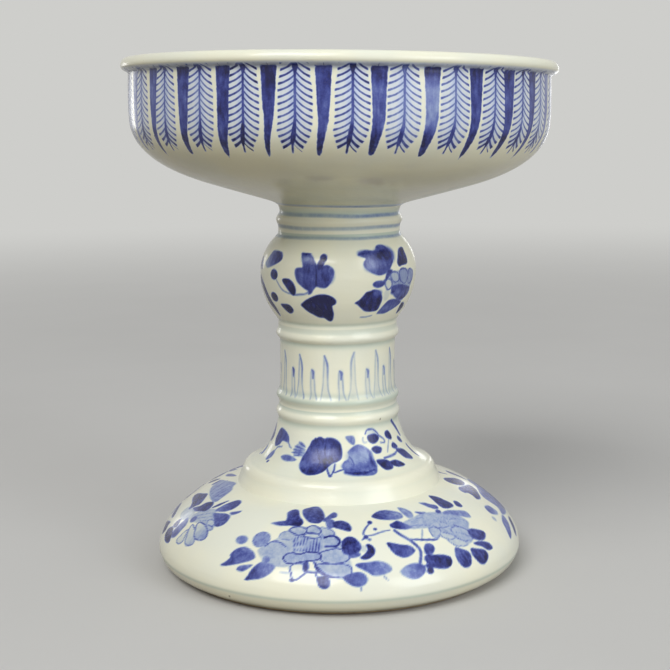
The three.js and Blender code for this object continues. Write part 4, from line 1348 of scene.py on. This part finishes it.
def floor_spray(section, floor):
    """A peony with leaves, drawn flat on the floor of the dish."""
    x = section.radius * np.sin(section.angle)
    y = -section.radius * np.cos(section.angle)
    ink = section.paint["ink"]

    def oval(centre, length, width, turned, amount, outline=0.0, cover=True):
        turned = math.radians(turned)
        u = (x - centre[0]) * math.cos(turned) + (y - centre[1]) * math.sin(turned)
        v = (y - centre[1]) * math.cos(turned) - (x - centre[0]) * math.sin(turned)
        pinch = width * np.sqrt(np.clip(1 - (u / length) ** 2, 0, 1)) * (1 - 0.25 * u / length)
        distance = np.where(np.abs(u) < length, np.abs(v) - pinch, np.hypot(np.abs(u) - length, v))
        inside = (1 - smoothstep(-0.35, 0.35, distance)) * floor
        if cover:
            ink[:] = ink * (1 - inside) + amount * inside
        else:
            ink[:] = np.maximum(ink, amount * inside)
        if outline:
            edge = (1 - smoothstep(0.1, 0.6, np.abs(distance))) * floor * (np.abs(u) < length * 1.02)
            ink[:] = np.maximum(ink, outline * edge)

    for turned, reach in LEAVES_IN_DISH:
        oval(polar(reach, turned), 7.2, 3.1, turned + 14, 0.78, cover=False)
        oval(polar(0.66 * reach, turned), 6.0, 0.45, turned, 0.6, cover=False)
    for count, first, reach, length, width, amount, outline in PETALS_IN_DISH:
        for k in range(count):
            turned = first + 360 / count * k
            oval(polar(reach, turned), length, width, turned, amount, outline)
    oval((0, 0), 2.6, 2.6, 0, 0.8)


def dish_spacing(radius, height):
    """Fine rows where the dish is painted and at its lip."""
    band = (radius > 56) & (height > 129.5) & (height < 156.5)
    lip = height > 156
    floor = (radius < 46) & (height > 121.9)
    return np.select([floor, lip, band], [0.75, 0.5, 0.55], 1.1)


LIP_HANG = 0.6          # the roll of the lip hangs a little lower than in the solid
LIP_ZONE, LIP_POOL = 150, 0.35      # above this height glaze pools this much as elsewhere


def make_dish():
    section = Section("dish", levels("dish")[:1], 600, dish_spacing)
    radius, height = section.rows.T
    hang = LIP_HANG * smoothstep(63.5, 64.9, radius) * smoothstep(154.0, 156.3, height)
    section.rows[:, 1] -= hang * smoothstep(160.0, 158.8, height)
    section.reread()
    brush = Brush(section)
    lip_band(section)
    section.paint["pool"] *= np.where(section.height > LIP_ZONE, LIP_POOL, 1.0)
    brush.ring(116.3, 0.22, 0.6)
    dish_inside(section, brush.reachable)
    hollow = ~brush.reachable & (section.height < 119) & (section.radius < 19)
    section.paint["bare"] = hollow.astype(float)
    brush.speck(-4.6, 159.0, 0.4)
    section.build(banded)


def make_lutes():
    for node in ("foot_lute", "skirt_lute", "drum_lute", "knop_lute", "collar_lute"):
        section = Section(node, [], 160, outer_spacing(0.3, 0.3))
        section.build(slip)


# The studio, in metres

HEART = (0, 0, 0.08)        # what the lamps face
BACKDROP = srgb(206, 206, 203)
FLOOR_BOUNCE = srgb(118, 106, 74)       # the floor as it lights the object from below
FLOOR_HALF = 3.0


def area_light(name, place, size, power, lights=True, mirrored=True, colour=(1, 1, 1)):
    """A soft rectangular lamp that faces the object, to light it, be mirrored in its glaze, or both."""
    data = bpy.data.lights.new(name, "AREA")
    data.shape = "RECTANGLE"
    data.size, data.size_y = size
    data.energy = power
    data.color = colour
    lamp = add_object(name, data)
    lamp.location = place
    lamp.visible_diffuse = lights
    lamp.visible_glossy = mirrored
    lamp.visible_camera = False
    towards_lamp = Vector(place) - Vector(HEART)
    lamp.rotation_euler = towards_lamp.to_track_quat("Z", "Y").to_euler()


def seen_directly(tree):
    """1 for rays that show the backdrop as such, and 0 for rays that carry its light to the object."""
    rays = tree.nodes.new("ShaderNodeLightPath")
    names = ("Is Camera Ray", "Is Glossy Ray", "Is Transmission Ray")
    first, second, third = (Wire(tree, rays.outputs[name]) for name in names)
    return first.larger(second).larger(third)


def join_shaders(tree, amount, first, second, output):
    """Shows the first shader where amount is 0, and the second where it is 1."""
    join = tree.nodes.new("ShaderNodeMixShader")
    for place, socket in zip(join.inputs, (amount.socket, first.outputs[0], second.outputs[0])):
        tree.links.new(socket, place)
    tree.links.new(join.outputs[0], tree.nodes[output].inputs["Surface"])


def make_studio():
    area_light("key", (-0.75, -1.5, 1.75), (1.5, 1.1), 28.5)
    area_light("fill", (1.5, -1.3, 0.9), (1.1, 1.1), 12, colour=(0.9, 0.95, 1.0))
    area_light("low", (0.7, -1.4, 0.12), (1.4, 0.3), 6.5, mirrored=False)
    area_light("edge_left", (-0.46, 0.62, 0.15), (0.1, 0.16), 0.11, lights=False)
    area_light("edge_right", (0.26, 0.7, 0.15), (0.07, 0.16), 0.07, lights=False)
    world = bpy.data.worlds.new("studio")
    bpy.context.scene.world = world
    world.use_nodes = True
    tree = world.node_tree
    light = tree.nodes["Background"]
    light.inputs["Color"].default_value = (0.95, 0.95, 0.95, 1)
    light.inputs["Strength"].default_value = 0.38
    seen = tree.nodes.new("ShaderNodeBackground")
    seen.inputs["Color"].default_value = BACKDROP
    join_shaders(tree, seen_directly(tree), light, seen, "World Output")


def make_floor():
    """A pale floor that fades into the backdrop far from the object."""
    mesh = bpy.data.meshes.new("floor")
    corners = [(x * FLOOR_HALF, y * FLOOR_HALF, 0) for x, y in ((-1, -1), (1, -1), (1, 1), (-1, 1))]
    mesh.from_pydata(corners, [], [(0, 1, 2, 3)])
    floor = add_object("floor", mesh)
    p = Painter("pale_floor")
    seen = seen_directly(p.tree)
    pale = p.mix(p.noise(90, 3), srgb(208, 207, 204), srgb(214, 213, 210))
    p.give("Base Color", p.mix(seen, FLOOR_BOUNCE, pale))
    p.give("Roughness", 0.8)
    p.give("Specular IOR Level", 0.1)
    distance = p.tree.nodes.new("ShaderNodeVectorMath")
    distance.operation = "LENGTH"
    p.tree.links.new(p.place, distance.inputs[0])
    far = Wire(p.tree, distance.outputs["Value"]).step(350, 1500) * seen
    glow = p.tree.nodes.new("ShaderNodeEmission")
    glow.inputs["Color"].default_value = BACKDROP
    join_shaders(p.tree, far, p.shader, glow, "Material Output")
    mesh.materials.append(p.material)


# The camera, at the photograph's viewing angle, in metres and degrees

CAMERA_DISTANCE = 0.41004
CAMERA_HEIGHT = 0.13997
CAMERA_ASIDE = -0.00056
CAMERA_PITCH = 9.19
CAMERA_ROLL = -0.58
LENS = 69.17


def make_camera():
    data = bpy.data.cameras.new("camera")
    data.lens = LENS
    data.sensor_width = 36
    camera = add_object("camera", data)
    turned = Matrix.Rotation(math.radians(90 - CAMERA_PITCH), 4, "X")
    rolled = Matrix.Rotation(math.radians(CAMERA_ROLL), 4, "Z")
    place = Matrix.Translation((CAMERA_ASIDE, -CAMERA_DISTANCE, CAMERA_HEIGHT))
    camera.matrix_world = place @ turned @ rolled
    bpy.context.scene.camera = camera


make_camera()
make_studio()
make_floor()
make_foot()
make_skirt()
make_drum()
make_knop()
make_collar()
make_dish()
make_lutes()

bpy.context.scene.view_settings.view_transform = "Standard"
